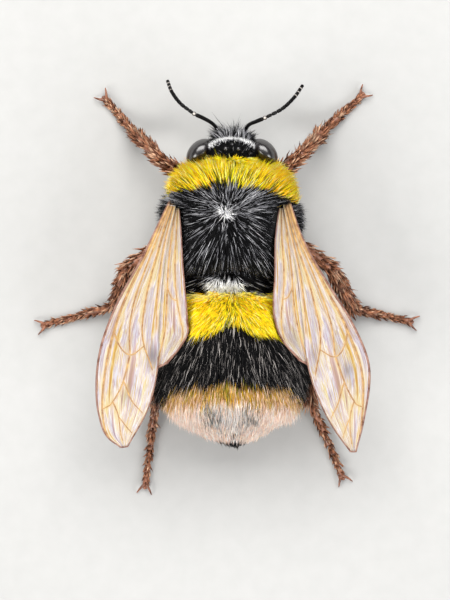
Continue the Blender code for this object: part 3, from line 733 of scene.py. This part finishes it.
WING_EDGES = {  # the leading and the trailing edge, from the hinge to the tip
    "forewing_left": (
        (
            (4.08, -5.85), (5.9, -2.1), (7.87, 1.6), (8.73, 4.1),
            (9.0, 6.3), (8.85, 8.4), (8.3, 9.9), (7.4, 10.6),
        ),
        ((3.62, -5.8), (4.1, -3.8), (4.55, -1.0), (4.85, 2.5), (4.97, 5.5), (5.53, 7.87), (6.95, 10.55)),
    ),
    "hindwing_left": (
        ((3.85, -5.3), (4.75, -1.0), (5.05, 2.5), (5.0, 5.3)),
        (
            (3.52, -5.3), (3.38, -3.6), (3.26, -1.4), (3.06, 0.9),
            (2.97, 2.2), (2.95, 3.0), (3.4, 3.85), (4.3, 4.95),
        ),
    ),
    "forewing_right": (
        (
            (-3.75, -5.85), (-4.65, -3.3), (-6.45, -0.1), (-8.0, 2.4),
            (-9.05, 5.0), (-8.75, 8.8), (-8.25, 10.9),
        ),
        ((-3.3, -5.8), (-3.72, -3.8), (-4.3, -1.0), (-4.72, 2.5), (-5.1, 5.4), (-6.87, 9.5), (-7.9, 10.9)),
    ),
    "hindwing_right": (
        ((-3.55, -5.3), (-4.5, -1.0), (-4.92, 2.5), (-5.1, 5.1)),
        ((-3.15, -5.3), (-2.9, -3.6), (-2.85, -1.0), (-2.87, 2.2), (-3.25, 3.3), (-4.45, 4.75)),
    ),
}
VEINS = {  # half thickness, then (share of the span, share of the chord from the leading edge)
    "forewing": (
        (0.075, ((0.0, 0.09), (0.3, 0.12), (0.6, 0.15), (0.8, 0.1), (0.95, 0.03))),
        (0.06, ((0.01, 0.3), (0.3, 0.34), (0.5, 0.42), (0.62, 0.52))),
        (0.06, ((0.01, 0.52), (0.3, 0.6), (0.52, 0.68), (0.68, 0.93))),
        (0.05, ((0.02, 0.8), (0.3, 0.87), (0.52, 0.97))),
        (0.05, ((0.53, 0.14), (0.58, 0.28), (0.62, 0.52), (0.58, 0.76))),
        (0.05, ((0.62, 0.52), (0.72, 0.46), (0.8, 0.3), (0.83, 0.09))),
        (0.045, ((0.72, 0.46), (0.78, 0.6), (0.85, 0.93))),
        (0.045, ((0.8, 0.3), (0.86, 0.42), (0.97, 0.52))),
        (0.04, ((0.86, 0.42), (0.9, 0.62), (0.94, 0.9))),
    ),
    "hindwing": (
        (0.06, ((0.0, 0.25), (0.4, 0.34), (0.75, 0.3), (0.98, 0.12))),
        (0.05, ((0.01, 0.6), (0.5, 0.66), (0.85, 0.92))),
        (0.045, ((0.5, 0.35), (0.56, 0.5), (0.58, 0.7))),
    ),
}
SMOKES = {  # places along the span and across the chord, spread and strength
    "forewing_left": ((0.62, 0.9, 0.04, 0.8), (0.78, 0.53, 0.03, 0.35)),
    "hindwing_left": ((0.86, 0.6, 0.07, 0.3),),
    "forewing_right": ((0.6, 0.85, 0.035, 0.35), (0.68, 0.36, 0.035, 0.6)),
    "hindwing_right": ((0.84, 0.55, 0.09, 0.5),),
}
MEMBRANE_THICK, HINDWING_DROP = 0.05, 0.16


def wing_height(x, y):
    """The wings slope down and out like a shallow roof, with a slight bow along the body."""
    return 7.8 - 0.17 * (np.abs(x) - 3) - 0.012 * y**2


def wing_point(edges, span, chord, drop=0.0):
    """Between leading and trailing edge, raised into pleats that fade towards the tip, and dropped."""
    share = chord[..., None]
    plan = smooth_curve(edges[0], span) * (1 - share) + smooth_curve(edges[1], span) * share
    pleat = 0.07 * np.sin(chord * 5 * math.pi) * np.clip(1.25 - span, 0, 1) * np.sin(chord * math.pi)
    ruffle = 0.03 * np.sin(span * 23 + chord * 9) * span
    height = wing_height(plan[..., 0], plan[..., 1]) + pleat + ruffle - drop
    return np.concatenate([plan, height[..., None]], axis=-1)


def blade(edges, rows, columns, drop):
    """Two skins of the wing surface half the thickness above and below it, sewn along their border.

    Returns the points, the faces, and each point's shares of the span and the chord.
    """
    span, chord = np.meshgrid(np.linspace(0, 1, rows), np.linspace(0, 1, columns), indexing="ij")
    middle = wing_point(edges, span, chord, drop).reshape(-1, 3)
    lift = np.array([0.0, 0.0, MEMBRANE_THICK / 2])
    points = np.vstack([middle + lift, middle - lift])
    corner = (np.arange(rows - 1)[:, None] * columns + np.arange(columns - 1)).reshape(-1, 1)
    top = corner + np.array([[0, 1, columns + 1, columns]])
    under = top[:, ::-1] + rows * columns
    index = np.arange(rows * columns).reshape(rows, columns)
    border = np.concatenate([index[0], index[1:, -1], index[-1, -2::-1], index[-2:0:-1, 0]])
    after = np.roll(border, -1)
    hem = np.stack([after, border, border + rows * columns, after + rows * columns], axis=-1)
    faces = np.vstack([top, under, hem])
    first, second, third = (points[top[:, k]] for k in range(3))
    if np.cross(second - first, third - first)[:, 2].mean() < 0:
        faces = faces[:, ::-1]
    return points, faces, np.tile(np.column_stack([span.ravel(), chord.ravel()]), (2, 1))


def paint_uv(piece, name, per_vertex):
    """A UV map that gives every corner its vertex's place."""
    corners = np.empty(len(piece.data.loops), dtype=np.int32)
    piece.data.loops.foreach_get("vertex_index", corners)
    layer = piece.data.uv_layers.new(name=name)
    layer.data.foreach_set("uv", per_vertex[corners].astype(np.float32).ravel())


membrane, tree, shader = new_material(
    "wing_membrane", Specular_IOR_Level=0.5, Coat_Weight=0.25, Coat_Roughness=0.2
)
lay = wire(tree, "UVMap", uv_map="wing").outputs["UV"]


def streaks(along, across, shift, detail, **more):
    """Noise drawn out along the wing: its scale along the span and across the chord, and its shift."""
    stretch = wire(tree, "Mapping", {"Vector": lay, "Scale": (along, across, 1.0), "Location": shift})
    return noise(tree, stretch.outputs[0], 1.0, detail, **more)


strokes = streaks(2.3, 13.0, (0.0, 0.0, 0.0), 4.0, Roughness=0.6, Distortion=0.4)
fine = streaks(5.0, 60.0, (3.0, 7.0, 0.0), 3.0, Distortion=0.6)
clouds = streaks(5.0, 5.5, (1.7, 4.2, 0.0), 2.0, Distortion=0.9)
hues = wire(tree, "ValToRGB", {"Fac": strokes})
ramp = hues.color_ramp
ramp.elements[0].position, ramp.elements[0].color = 0.33, opaque(dye(168, 142, 140))
ramp.elements[1].position, ramp.elements[1].color = 0.68, opaque(dye(170, 128, 60))
for position, colour in (
    (0.39, dye(190, 166, 166)),
    (0.43, dye(214, 215, 222)),
    (0.465, dye(204, 182, 118)),
    (0.495, dye(222, 225, 231)),
    (0.525, dye(170, 142, 138)),
    (0.555, dye(217, 219, 225)),
    (0.6, dye(196, 164, 88)),
):
    ramp.elements.new(position).color = opaque(colour)
streaked = blend(tree, remap(tree, fine, 0.42, 0.6, 0.0, 1.0), dye(192, 171, 167), dye(227, 231, 236))
washed = blend(tree, 0.55, hues.outputs["Color"], streaked, "MULTIPLY")
for full, wash in ((0.6, dye(244, 234, 172)), (0.4, dye(206, 204, 222))):
    washed = blend(tree, remap(tree, clouds, 0.5, full, 0.0, 0.7), washed, wash, "MULTIPLY")
for mark, tint in (("stain", dye(186, 156, 96)), ("smoke", dye(96, 88, 92))):
    washed = blend(tree, wire(tree, "Attribute", attribute_name=mark).outputs["Fac"], washed, tint)
crinkle = wire(tree, "Bump", {"Height": fine, "Strength": 0.3, "Distance": 0.00008})
feed(
    tree,
    shader,
    Base_Color=washed,
    Roughness=remap(tree, fine, 0.0, 1.0, 0.3, 0.5),
    Alpha=remap(tree, strokes, 0.3, 0.7, 0.9, 0.97),
    Normal=crinkle.outputs["Normal"],
)

vein_shell = shell_material("vein_shell", dye(142, 104, 70), dye(190, 152, 92), 2400.0)
rim_shell = shell_material("rim_shell", dye(104, 66, 54), dye(156, 120, 104), 2400.0)
for name, edges in WING_EDGES.items():
    kind = name.split("_")[0]
    drop, rim_start = (0.0, 4.4) if kind == "forewing" else (HINDWING_DROP, -9.0)
    points, faces, uv = blade(edges, 90, 34, drop)
    nearest = np.full(len(points), 9.0)
    tubes = []
    for half, stops in VEINS[kind]:
        route = smooth_curve(stops, np.linspace(0, 1, 120))
        plan = wing_point(edges, route[:, 0], route[:, 1])[:, :2]
        nearest = np.minimum(nearest, np.linalg.norm(points[:, None, :2] - plan, axis=-1).min(axis=1))
        places = np.linspace(0, 1, 60)
        route = smooth_curve(stops, places)
        girth = 1.3 * half * (1 - 0.3 * places) * round_ends(places, 0.03)
        tubes.append(sweep(wing_point(edges, route[:, 0], route[:, 1], drop), girth, girth * 0.9, 8))
    haze = np.zeros(len(points))
    for span, chord, spread, strength in SMOKES[name]:
        haze += strength * bell(uv[:, 0], span, spread) * bell(uv[:, 1], chord, spread * 2.5)
    wing = mesh_piece(name, points, faces)
    paint_uv(wing, "wing", uv)
    add_attribute(wing, "smoke", haze)
    add_attribute(wing, "stain", 0.5 * bell(nearest, 0, 0.16))
    finish_piece(wing, membrane, "wing_membrane", name)
    finish_piece(mesh_piece("veins_" + name, *bundle(tubes)), vein_shell, "wing_membrane")

    ease = np.linspace(0, 1, 110)
    lead = wing_point(edges, ease, np.zeros(110), drop)
    tip = wing_point(edges, np.ones(7), np.linspace(0, 1, 9)[1:-1], drop)
    trail = wing_point(edges, ease[::-1], np.ones(110), drop)
    share = np.linspace(0, 1, 260)
    border = smooth_curve(np.vstack([lead, tip, trail[trail[:, 1] > rim_start]]), share)
    girth = (0.085 - 0.035 * np.clip((share - 0.5) * 4, 0, 1)) * round_ends(share, 0.01)
    finish_piece(mesh_piece("rim_" + name, *sweep(border, girth, girth, 10)), rim_shell, "wing_membrane")

for side, name in ((1, "left"), (-1, "right")):
    x, y = WING_EDGES["forewing_" + name][0][0]
    top = wing_height(x, y)
    cap = egg((x - side * 0.2, y - 0.12, top - 0.3), (0.34, 0.4, 0.22), 28, 32)
    stalk = (
        (x - side * 0.25, y + 0.15, top - 0.15),
        (x - side * 0.35, y + 0.25, top - 1.0),
        (x - side * 1.1, y + 0.35, top - 2.0),
    )
    places = eased(20)
    girth = (0.26 + 0.1 * places) * round_ends(places, 0.1)
    shells = [cap, sweep(smooth_curve(stalk, places), girth, girth, 20, (0.0, 1.0, 0.0))]
    finish_piece(mesh_piece("tegula_" + name, *bundle(shells)), black_shell, "shell_black", "tegula_" + name)


# ---------------------------------------------------------------- coat of head, thorax and abdomen
# The pile is branched hair rooted in the skin: upright and radial on the thorax, combed back on the
# abdomen and short on the face. Each tuft is a few thin spikes that gather towards their tips.

dice = np.random.default_rng(11)
TUFTS, HAIRS_PER_TUFT = 21000, 6
STOPS = (0.0, 0.5)  # where the rings of a hair stand along it, before its tip
HINGE_END = -5.58  # the coat of the thorax hangs over each wing as far as here
WING_MARGIN, WING_CLEARANCE = 0.12, 0.35
HAIR_PATCH = 0.003  # side of a hair's own patch of the unwrap
PILE = np.array(
    [  # length, rise at the root and fall at the tip in degrees, and half thickness at the root
        (1.0, 52, 24, 0.036),  # head
        (1.7, 52, 20, 0.042),  # collar
        (1.9, 56, 20, 0.042),  # chest
        (1.1, 35, 5, 0.042),  # waist
        (1.55, 46, 14, 0.042),  # yellow band
        (1.75, 42, 8, 0.042),  # dark band
        (1.4, 42, 9, 0.045),  # tawny band
        (1.45, 46, 13, 0.049),  # tail
    ]
)


def scatter(count, cells_round=260, cells_along=520):
    """Turn and run of roots spread evenly over the skin's area: denser on the back than underneath."""
    rounds, runs = ((np.arange(cells) + 0.5) / cells for cells in (cells_round, cells_along))
    turn, run = np.meshgrid(rounds, runs, indexing="ij")
    point, normal, area = trunk_frame(turn, run)
    share = area * np.clip(0.72 + 0.5 * normal[..., 2], 0.42, 1.0)
    arc, spot, tuft, _ = gleams(point)
    # roots crowd where the painted highlights of pale hair lie
    share = share * (np.where(point[..., 1] < -8.6, 1.25, 1.0) + 1.5 * arc + 1.5 * tuft + 2.0 * spot)
    climb = np.cumsum(share.ravel())
    picks = np.searchsorted(climb / climb[-1], (np.arange(count) + dice.random(count)) / count)
    picks = np.minimum(picks, turn.size - 1)
    turn = turn.ravel()[picks] + (dice.random(count) - 0.5) / cells_round
    run = run.ravel()[picks] + (dice.random(count) - 0.5) / cells_along
    return turn % 1.0, np.clip(run, 0.004, 0.996)


def lie_of(points, normals, zone):
    """The way the hairs point, as a unit vector in the skin's tangent plane.

    Radial from the crown of the thorax, forward and outward in the collar, backward on the abdomen.
    """
    x, y = points[:, 0], points[:, 1]
    nothing = np.zeros(len(x))
    away = unit(np.column_stack([x - CROWN_X, y - CROWN_Y, nothing - 0.25]))
    aside = 0.35 + 0.3 * np.clip(np.abs(x) / 4, 0, 1)[:, None] ** 2
    forward = np.column_stack([x * 0.36, nothing - 1.0, nothing + 0.05])
    outward = np.clip((x - 0.43) / 1.2, -1, 1)
    across = np.column_stack([outward**3, nothing + 0.35, nothing - 0.1])
    parting = 0.36 * np.tanh(x / 0.5) * np.clip((y - 0.7) / 0.9, 0, 1)
    fan = np.column_stack([0.12 * x + parting, nothing + 1.0, nothing])
    back = np.column_stack([0.07 * x, nothing + 1.0, nothing - 0.05])
    drawn_in = np.column_stack([-0.11 * x, nothing + 1.0, nothing - 0.1])
    face = np.column_stack([0.62 * (x + 0.1), nothing - 1.0, nothing - 0.1])
    lies = np.stack([face, unit(forward) + aside * away, away, across, fan, back, back, drawn_in])
    lie = unit(lies[zone, np.arange(len(x))])
    lie = lie + 0.16 * np.column_stack([swell(points, 21 + k, 1.3) for k in range(3)])
    lie = lie - np.einsum("ij,ij->i", lie, normals)[:, None] * normals
    return unit(lie)


def inside(plan, outline):
    """Whether each point of the plan lies in the closed outline, by the crossings of a ray along X."""
    within = np.zeros(len(plan), dtype=bool)
    for (ax, ay), (bx, by) in zip(outline, np.roll(outline, -1, axis=0)):
        spans = (ay > plan[:, 1]) != (by > plan[:, 1])
        meets = (bx - ax) * (plan[:, 1] - ay) / (by - ay + 1e-12) + ax
        within ^= spans & (plan[:, 0] < meets)
    return within


wing_outlines = [
    np.vstack([smooth_curve(lead, np.linspace(0, 1, 24)), smooth_curve(trail, np.linspace(1, 0, 24))])
    for lead, trail in WING_EDGES.values()
]


def under_wings(plan):
    """Whether each point of the plan lies within a wing's outline, or within the margin to either side.

    The first stretch of each wing, up to the hinge's end, is left out: the coat of the thorax hangs over it.
    """
    covered = np.zeros(len(plan), dtype=bool)
    for outline in wing_outlines:
        low, high = outline.min(axis=0) - 0.15, outline.max(axis=0) + 0.15
        near = np.flatnonzero(((plan > low) & (plan < high)).all(axis=1))
        for margin in (-WING_MARGIN, 0.0, WING_MARGIN):
            covered[near] |= inside(plan[near] + (margin, 0.0), outline)
    return covered & (plan[:, 1] > HINGE_END)


def spikes(roots, gather, normals, lie, length, girth, rise, fall):
    """Three-sided hairs whose paths start tipped up by the rise angle and bend over to the fall angle.

    A path is root + length (t d0 + t² (d1 - d0) / 2), pulled sideways by the gather in proportion to t,
    and the girth tapers to a point at its end. Points under a wing are pressed down to clear it, and a
    hair that would reach over a wing from beside it is cut back to four tenths of its length.
    """
    start = np.cos(rise)[:, None] * lie + np.sin(rise)[:, None] * normals
    end = np.cos(fall)[:, None] * lie + np.sin(fall)[:, None] * normals

    def path(stop):
        """The points of all the paths at one share of their length."""
        return roots + length[:, None] * (stop * start + stop**2 / 2 * (end - start)) + gather * stop

    tip = path(1.0)
    reaching = ~under_wings(roots[:, :2]) & (under_wings(tip[:, :2]) | under_wings(path(0.5)[:, :2]))
    reaching &= tip[:, 2] > wing_height(roots[:, 0], roots[:, 1]) - 0.6
    length = np.where(reaching, 0.4 * length, length)
    side = unit(np.cross(start + end, normals))
    top = unit(np.cross(side, start + end))
    angle = (np.arange(3) * 2 * math.pi / 3 + math.pi / 6)[None, :, None]
    around = girth[:, None, None] * (np.cos(angle) * side[:, None] + np.sin(angle) * top[:, None])
    rings = [path(stop)[:, None] + around * (1 - stop**1.5) for stop in STOPS]
    points = np.concatenate([*rings, path(1.0)[:, None]], axis=1)
    flat = points.reshape(-1, 3)
    covered = under_wings(flat[:, :2]).reshape(points.shape[:2]).any(axis=1)
    covered = np.repeat(covered, points.shape[1])
    pressed = wing_height(flat[:, 0], flat[:, 1]) - WING_CLEARANCE
    flat[:, 2] = np.where(covered, np.minimum(flat[:, 2], pressed), flat[:, 2])
    return flat.reshape(points.shape)


def coat_piece(name, points, unwrap, colours, tones):
    """Skins the spikes, closes their roots, and gives each hair its dye, tone and patch of the unwrap."""
    count, corners = points.shape[:2]
    last = (len(STOPS) - 1) * 3
    turns = [(side, (side + 1) % 3) for side in range(3)]
    sides = [
        (row + side, row + after, row + 3 + after, row + 3 + side)
        for row in range(0, last, 3)
        for side, after in turns
    ]
    tips = [(last + side, last + after, last + 3) for side, after in turns] + [(2, 1, 0)]
    base = (np.arange(count) * corners)[:, None, None]
    quads, tris = (base + np.array(sides)).reshape(-1, 4), (base + np.array(tips)).reshape(-1, 3)
    piece = mesh_piece(name, points.reshape(-1, 3), quads, tris)
    places = np.append(np.repeat(STOPS, 3), 1.0)
    add_attribute(piece, "pile_colour", np.repeat(colours, corners, axis=0))
    add_attribute(piece, "tone", np.repeat(tones, corners))
    add_attribute(piece, "along", np.tile(places, count))
    patch = np.column_stack([(np.arange(corners) % 3) / 2, places]) * HAIR_PATCH
    paint_uv(piece, "OFBake", (unwrap[:, None] * (0.999 - HAIR_PATCH) + patch).reshape(-1, 2))
    return piece


def choose(count, *shares):
    """One colour for each hair, drawn by the weights in (colour, weight) pairs."""
    palette, weights = zip(*shares)
    climb = np.cumsum([np.broadcast_to(weight, count) for weight in weights], axis=0)
    drawn = dice.random(count) * climb[-1]
    return np.array(palette)[(drawn > climb).sum(axis=0)]


turn, run = scatter(TUFTS)
tuft_root, tuft_normal, _ = trunk_frame(turn, run)
tuft_zone = zone_of(tuft_root)
tuft_lie = lie_of(tuft_root, tuft_normal, tuft_zone)
tuft_side = np.cross(tuft_normal, tuft_lie)

own = np.repeat(np.arange(TUFTS), HAIRS_PER_TUFT)
hairs = len(own)
offset = sum(dice.normal(0, 0.1, (hairs, 1)) * way[own] for way in (tuft_lie, tuft_side))
roots = tuft_root[own] + offset - 0.05 * tuft_normal[own]
zone = tuft_zone[own]
normals = tuft_normal[own]
x, y, z = roots.T
facing_up = np.clip(normals[:, 2], 0, 1)

length, rise, fall, girth = PILE[zone].T
lengths = length * dice.uniform(0.72, 1.12, hairs)
lengths *= 1 + 0.12 * swell(roots, 8, 2.0)
rises = np.radians(rise + dice.normal(0, 8, hairs))
falls = np.radians(fall + dice.normal(0, 9, hairs))
girths = girth * dice.uniform(0.8, 1.15, hairs)
lies = unit(tuft_lie[own] + dice.normal(0, 0.1, (hairs, 3)))

# lengths: short on the crown and the face, and trimmed where one band meets the next
hub = bell(np.hypot(x - CROWN_X, y - CROWN_Y), 0, 1.1)
# a wider cloud of painted highlight round the thorax's bare crown
glint_cloud = bell(x, -0.05, 1.25) * bell(y, -5.3, 0.65)
arc, spot, waist_gleam, hinge = gleams(roots)
lengths *= 1 - 0.62 * hub
face_tuft = (zone == HEAD) & (np.abs(x + 0.15) < 0.95) & (z > 4.2) & (z < 5.5) & (y < -9.5) & (arc < 0.3)
lengths[face_tuft] *= (1.45 - 0.75 * np.abs(x + 0.1)[face_tuft]) * dice.uniform(0.7, 1.45, face_tuft.sum())
lengths[(zone == HEAD) & ~face_tuft] *= 0.42
lengths[(zone == HEAD) & (z < 3.6)] *= 0.8
lengths *= np.where((zone == CHEST) & (y < -6.3) & (z < 4.2), 0.35, 1.0)
lengths *= 1 - 0.3 * (zone == CHEST) * np.clip(-5.5 - y, 0, 1) * (z > 6)
lengths *= 1 - 0.3 * np.clip(np.abs(x) - 2.6, 0, 1) * np.isin(zone, (COLLAR, CHEST))
lengths *= 1 - 0.35 * (zone == CHEST) * (np.abs(x) > 3.3) * np.clip(y + 4.4, 0, 1)
lengths *= 1 - (0.25 + 0.55 * np.exp(-(((x - 0.4) / 1.5) ** 4))) * np.clip(y + 2.7, 0, 1) * (zone == CHEST)
lengths *= 1 + 0.6 * (zone == WAIST_PILE) * (np.abs(x - 0.4) > 1.3)
lengths *= 1 - 0.3 * (zone == YELLOW) * np.clip(1.1 - y, 0, 1)
lengths *= 1 - 0.42 * (zone == TAIL) * np.clip((y - 7.4) / 1.6, 0, 1)
tip_x, tip_y, _ = (roots + lengths[:, None] * 0.85 * lies).T
brow = -9.1 + 0.0737 * tip_x**2 + 0.005 * tip_x**4
past_brow = np.clip(brow - tip_y, 0, None) * (zone == COLLAR)
lengths = np.maximum(lengths - 1.1 * past_brow, 0.35 * lengths)
tousle = 0.9 * hub**3 + 0.3 * waist_gleam
lies = unit(lies + tousle[:, None] * dice.normal(0, 1, (hairs, 3)))
rises = np.where(arc > 0.3, np.radians(42), rises)
rises = np.where((zone == YELLOW) & (y < 1.3) & (np.abs(x) > 1.2), 0.35 * rises, rises)
rises = np.where(waist_gleam > 0.3, np.radians(55), rises)
lengths *= 1 - 0.35 * waist_gleam

# dyes: each band draws from its own palette; pale hairs among the black ones are painted highlights, and dark
# olive hairs among the yellow are painted shade
shine = dice.random(hairs)
glint_share = np.select(
    [zone == HEAD, zone == CHEST, zone == WAIST_PILE, zone == DARK],
    [
        0.03 + 0.95 * arc + 0.22 * face_tuft,
        0.095 + 0.9 * spot + 0.38 * glint_cloud + 0.75 * hinge,
        0.07 + 0.95 * waist_gleam,
        0.09 + 0 * x,
    ],
    0.0,
)
glinting = shine < glint_share
mid = bell(x, 0, 1.3)
rear = np.clip((y - 5.6) / 1.2, 0, 1)
slate_spots = bell(np.abs(x - 0.03), 1.3, 0.5) * bell(y, 7.7, 0.55) * (normals[:, 2] > 0)
ash_patch = bell(x, 0.1, 1.0) * bell(y, 7.7, 0.8)
ridge = bell(x, -0.2, 0.3) * (y > 6.6)
gold_mix = choose(
    hairs, (GOLD, 0.5), (LEMON, 0.2 + 0.5 * mid), (AMBER, 0.26 * (1 - mid)),
    (CREAM, 0.12 + 0.14 * mid), (SHADE_OLIVE, 0.01 + 0.1 * mid),
)
# hairs that face sideways and down draw more gold: a hue painted to how the light falls, so the shaded sides
# stay golden
lemon_mix = choose(
    hairs, (GOLD, 0.2 + 0.1 * np.abs(x) + 0.7 * (1 - facing_up)), (LEMON, 0.7), (AMBER, 0.04 * np.abs(x)),
    (CREAM, 0.1), (SHADE_OLIVE, 0.02 + 0.36 * mid),
)
tawny_mix = choose(
    hairs, (TAWNY, 0.38), (HONEY, 0.3), (SAND, 0.16 + 0.4 * rear), (GOLD, 0.04 + 0.1 * mid),
    (SHADE_OLIVE, 0.06 + 0.25 * mid),
)
tail_mix = choose(
    hairs, (PEACH, 0.55 + 0.5 * ridge), (MILK, 0.35 + 2.0 * ridge), (SAND, 0.16), (SLATE, 2.4 * slate_spots),
    (ASH, 1.9 * ash_patch), (HONEY, 0.4 * np.clip(7.6 - y, 0, 1)),
)
black_mix = BLACK * dice.uniform(0.6, 1.6, (hairs, 1))
# how bright each painted highlight hair is: brightest in the arc, the spot and the waist's tuft
glint_bright = dice.random(hairs) + 1.4 * spot + 2 * waist_gleam + 1.2 * arc - 0.15 - 0.3 * face_tuft
glint_mix = GLINT_GREY + (GLINT - GLINT_GREY) * np.clip(glint_bright, 0, 1)[:, None] ** 1.2
dark_band_glint_mix = UMBER + (FAWN_GLINT - UMBER) * dice.random((hairs, 1))
glint_mix = np.where((zone == DARK)[:, None], dark_band_glint_mix, glint_mix)
which = [zone == COLLAR, zone == YELLOW, zone == BROWN, zone == TAIL, glinting]
mixes = [gold_mix, lemon_mix, tawny_mix, tail_mix, glint_mix]
colours = np.select([chosen[:, None] for chosen in which], mixes, black_mix)
colours = np.where(((zone == TAIL) & (y > 9.8))[:, None], black_mix, colours)
strands = 0.2 * bell(x, 0, 0.8) * bell(y, 9.0, 0.7) * (zone == TAIL) * (normals[:, 2] > 0)
colours = np.where((shine < strands)[:, None], UMBER, colours)
hem = (zone == YELLOW) & (y < 0.62) & (dice.random(hairs) < 0.6)
colours = np.where(hem[:, None], CREAM, colours)
shadow = bell(y, -6.4 + 0.05 * x**2 - 0.055 * x, 0.33) * (zone == COLLAR) * (0.3 + 0.7 * mid)
colours = np.where((dice.random(hairs) < 0.6 * shadow)[:, None], SHADE_OLIVE * 0.4, colours)
rises = rises + np.where(glinting & (arc < 0.4), np.radians(8), 0)
lengths = lengths * np.where(glinting, 1.08, 1.0)
gleaming = waist_gleam + arc + spot
girths = girths * np.where(glinting & (gleaming < 0.4), 0.62, 1.0)

# tones: how light each hair is within its dye; the hairs of the painted highlights take the full tone
tones = dice.random(hairs)
brown_tones = 0.38 + 0.48 * tones - 0.12 * mid
collar_tones = 0.53 + 0.45 * tones + 0.16 * np.clip(np.abs(x) - 1.5, 0, 2) - 0.14 * np.clip(-1.5 - x, 0, 1)
# the yellow band is darker at the midline, as painted shade
yellow_tones = 0.39 + 0.5 * tones - 0.12 * mid - 0.04 * np.clip(x, 0, 3)
tones = np.select(
    [gleaming > 0.4, zone == BROWN, zone == TAIL, zone == COLLAR, zone == YELLOW],
    [np.ones(hairs), brown_tones, 0.34 + 0.46 * tones, collar_tones, yellow_tones],
    tones,
)
hair = spikes(roots, -0.5 * offset, normals, lies, lengths, girths, rises, falls)
unwrap = np.column_stack([turn, run])[own]

pile_finish, tree, shader = new_material("pile", Specular_IOR_Level=0.12)
tone, along = (wire(tree, "Attribute", attribute_name=mark).outputs["Fac"] for mark in ("tone", "along"))
dye_pile_with_painted_shade(tree, shader, tone, along)

COATS = {  # piece: the zone it covers, the side of the body it is on, and its finish
    "coat_head": (HEAD, 0, "coat_black"),
    "coat_collar": (COLLAR, 0, "coat_yellow"),
    "coat_thorax_left": (CHEST, 1, "coat_black"),
    "coat_thorax_right": (CHEST, -1, "coat_black"),
    "coat_waist": (WAIST_PILE, 0, "coat_black"),
    "coat_band_yellow": (YELLOW, 0, "coat_yellow"),
    "coat_band_black_left": (DARK, 1, "coat_black"),
    "coat_band_black_right": (DARK, -1, "coat_black"),
    "coat_band_tawny": (BROWN, 0, "coat_tawny"),
    "coat_tail": (TAIL, 0, "coat_buff"),
}
for name, (covered, side, finish) in COATS.items():
    chosen = zone == covered
    if side:
        chosen &= tuft_root[own, 0] * side > 0
    coat = coat_piece(name, hair[chosen], unwrap[chosen], colours[chosen], tones[chosen])
    finish_piece(coat, pile_finish, finish)


# ---------------------------------------------------------------- bristles of the legs
# Short stiff hairs stand out along each leg towards the foot, darker towards their roots as painted shade,
# and longest in the fringe of the hind tibia. They are rooted in the leg's shell like those of the body.

BRISTLES = {  # how many, and their mean length
    "coxa": (60, 0.6),
    "femur": (200, 0.8),
    "tibia": (260, 0.78),
    "foot_0": (130, 0.48),
    "foot_1": (34, 0.44),
    "foot_2": (32, 0.44),
    "foot_3": (28, 0.44),
    "foot_4": (18, 0.36),
}
BASKET_FRINGE, LOWEST_ROOT = 0.95, 0.12
RUST, BARK, STRAW = dye(158, 107, 80), dye(94, 58, 43), dye(196, 156, 128)
gathered = []
for leg_number, (name, limbs) in enumerate(leg_limbs.items()):
    for part_number, (part, line, broad, deep) in enumerate(limbs):
        count, size = BRISTLES[part]
        if part == "tibia" and name.startswith("hind"):
            size = BASKET_FRINGE
        place = 0.04 + 0.93 * (np.arange(count) + dice.random(count)) / count
        angle = dice.random(count)[:, None] * 2 * math.pi
        row = place[:, None] * (len(line) - 1)
        low = np.clip(row[:, 0].astype(int), 0, len(line) - 2)
        share = row - low[:, None]
        tangent = unit(np.gradient(line, axis=0))
        middle, heading, wide, tall = (
            values[low] * (1 - share) + values[low + 1] * share
            for values in (line, tangent, broad[:, None], deep[:, None])
        )
        heading = unit(heading)
        across = unit(np.cross(heading, (0.0, 0.0, 1.0)))
        up = np.cross(across, heading)
        root = middle + wide * np.cos(angle) * across + tall * np.sin(angle) * up
        out = unit(np.cos(angle) / wide * across + np.sin(angle) / tall * up)
        unwrap = np.column_stack([(leg_number + angle / (2 * math.pi)) / 6, (part_number + place) / 8])
        keep = root[:, 2] > LOWEST_ROOT
        gathered.append((root[keep], out[keep], heading[keep], unwrap[keep], np.full(keep.sum(), size)))
roots, outs, headings, unwraps, sizes = (np.concatenate(column) for column in zip(*gathered))
count = len(roots)
headings = unit(headings + dice.normal(0, 0.15, (count, 3)))
bristle = spikes(
    roots - 0.03 * outs,
    np.zeros((count, 3)),
    outs,
    unit(headings - np.einsum("ij,ij->i", headings, outs)[:, None] * outs),
    sizes * dice.uniform(0.6, 1.2, count),
    dice.uniform(0.05, 0.11, count),
    np.radians(dice.normal(30, 12, count)),
    np.radians(dice.normal(14, 12, count)),
)
bristle[..., 2] = np.maximum(bristle[..., 2], 0.01)
rust_mix = choose(count, (RUST, 0.55), (BARK, 0.2), (STRAW, 0.25))
coat = coat_piece("coat_legs", bristle, unwraps, rust_mix, dice.random(count))
finish_piece(coat, pile_finish, "leg_brown")
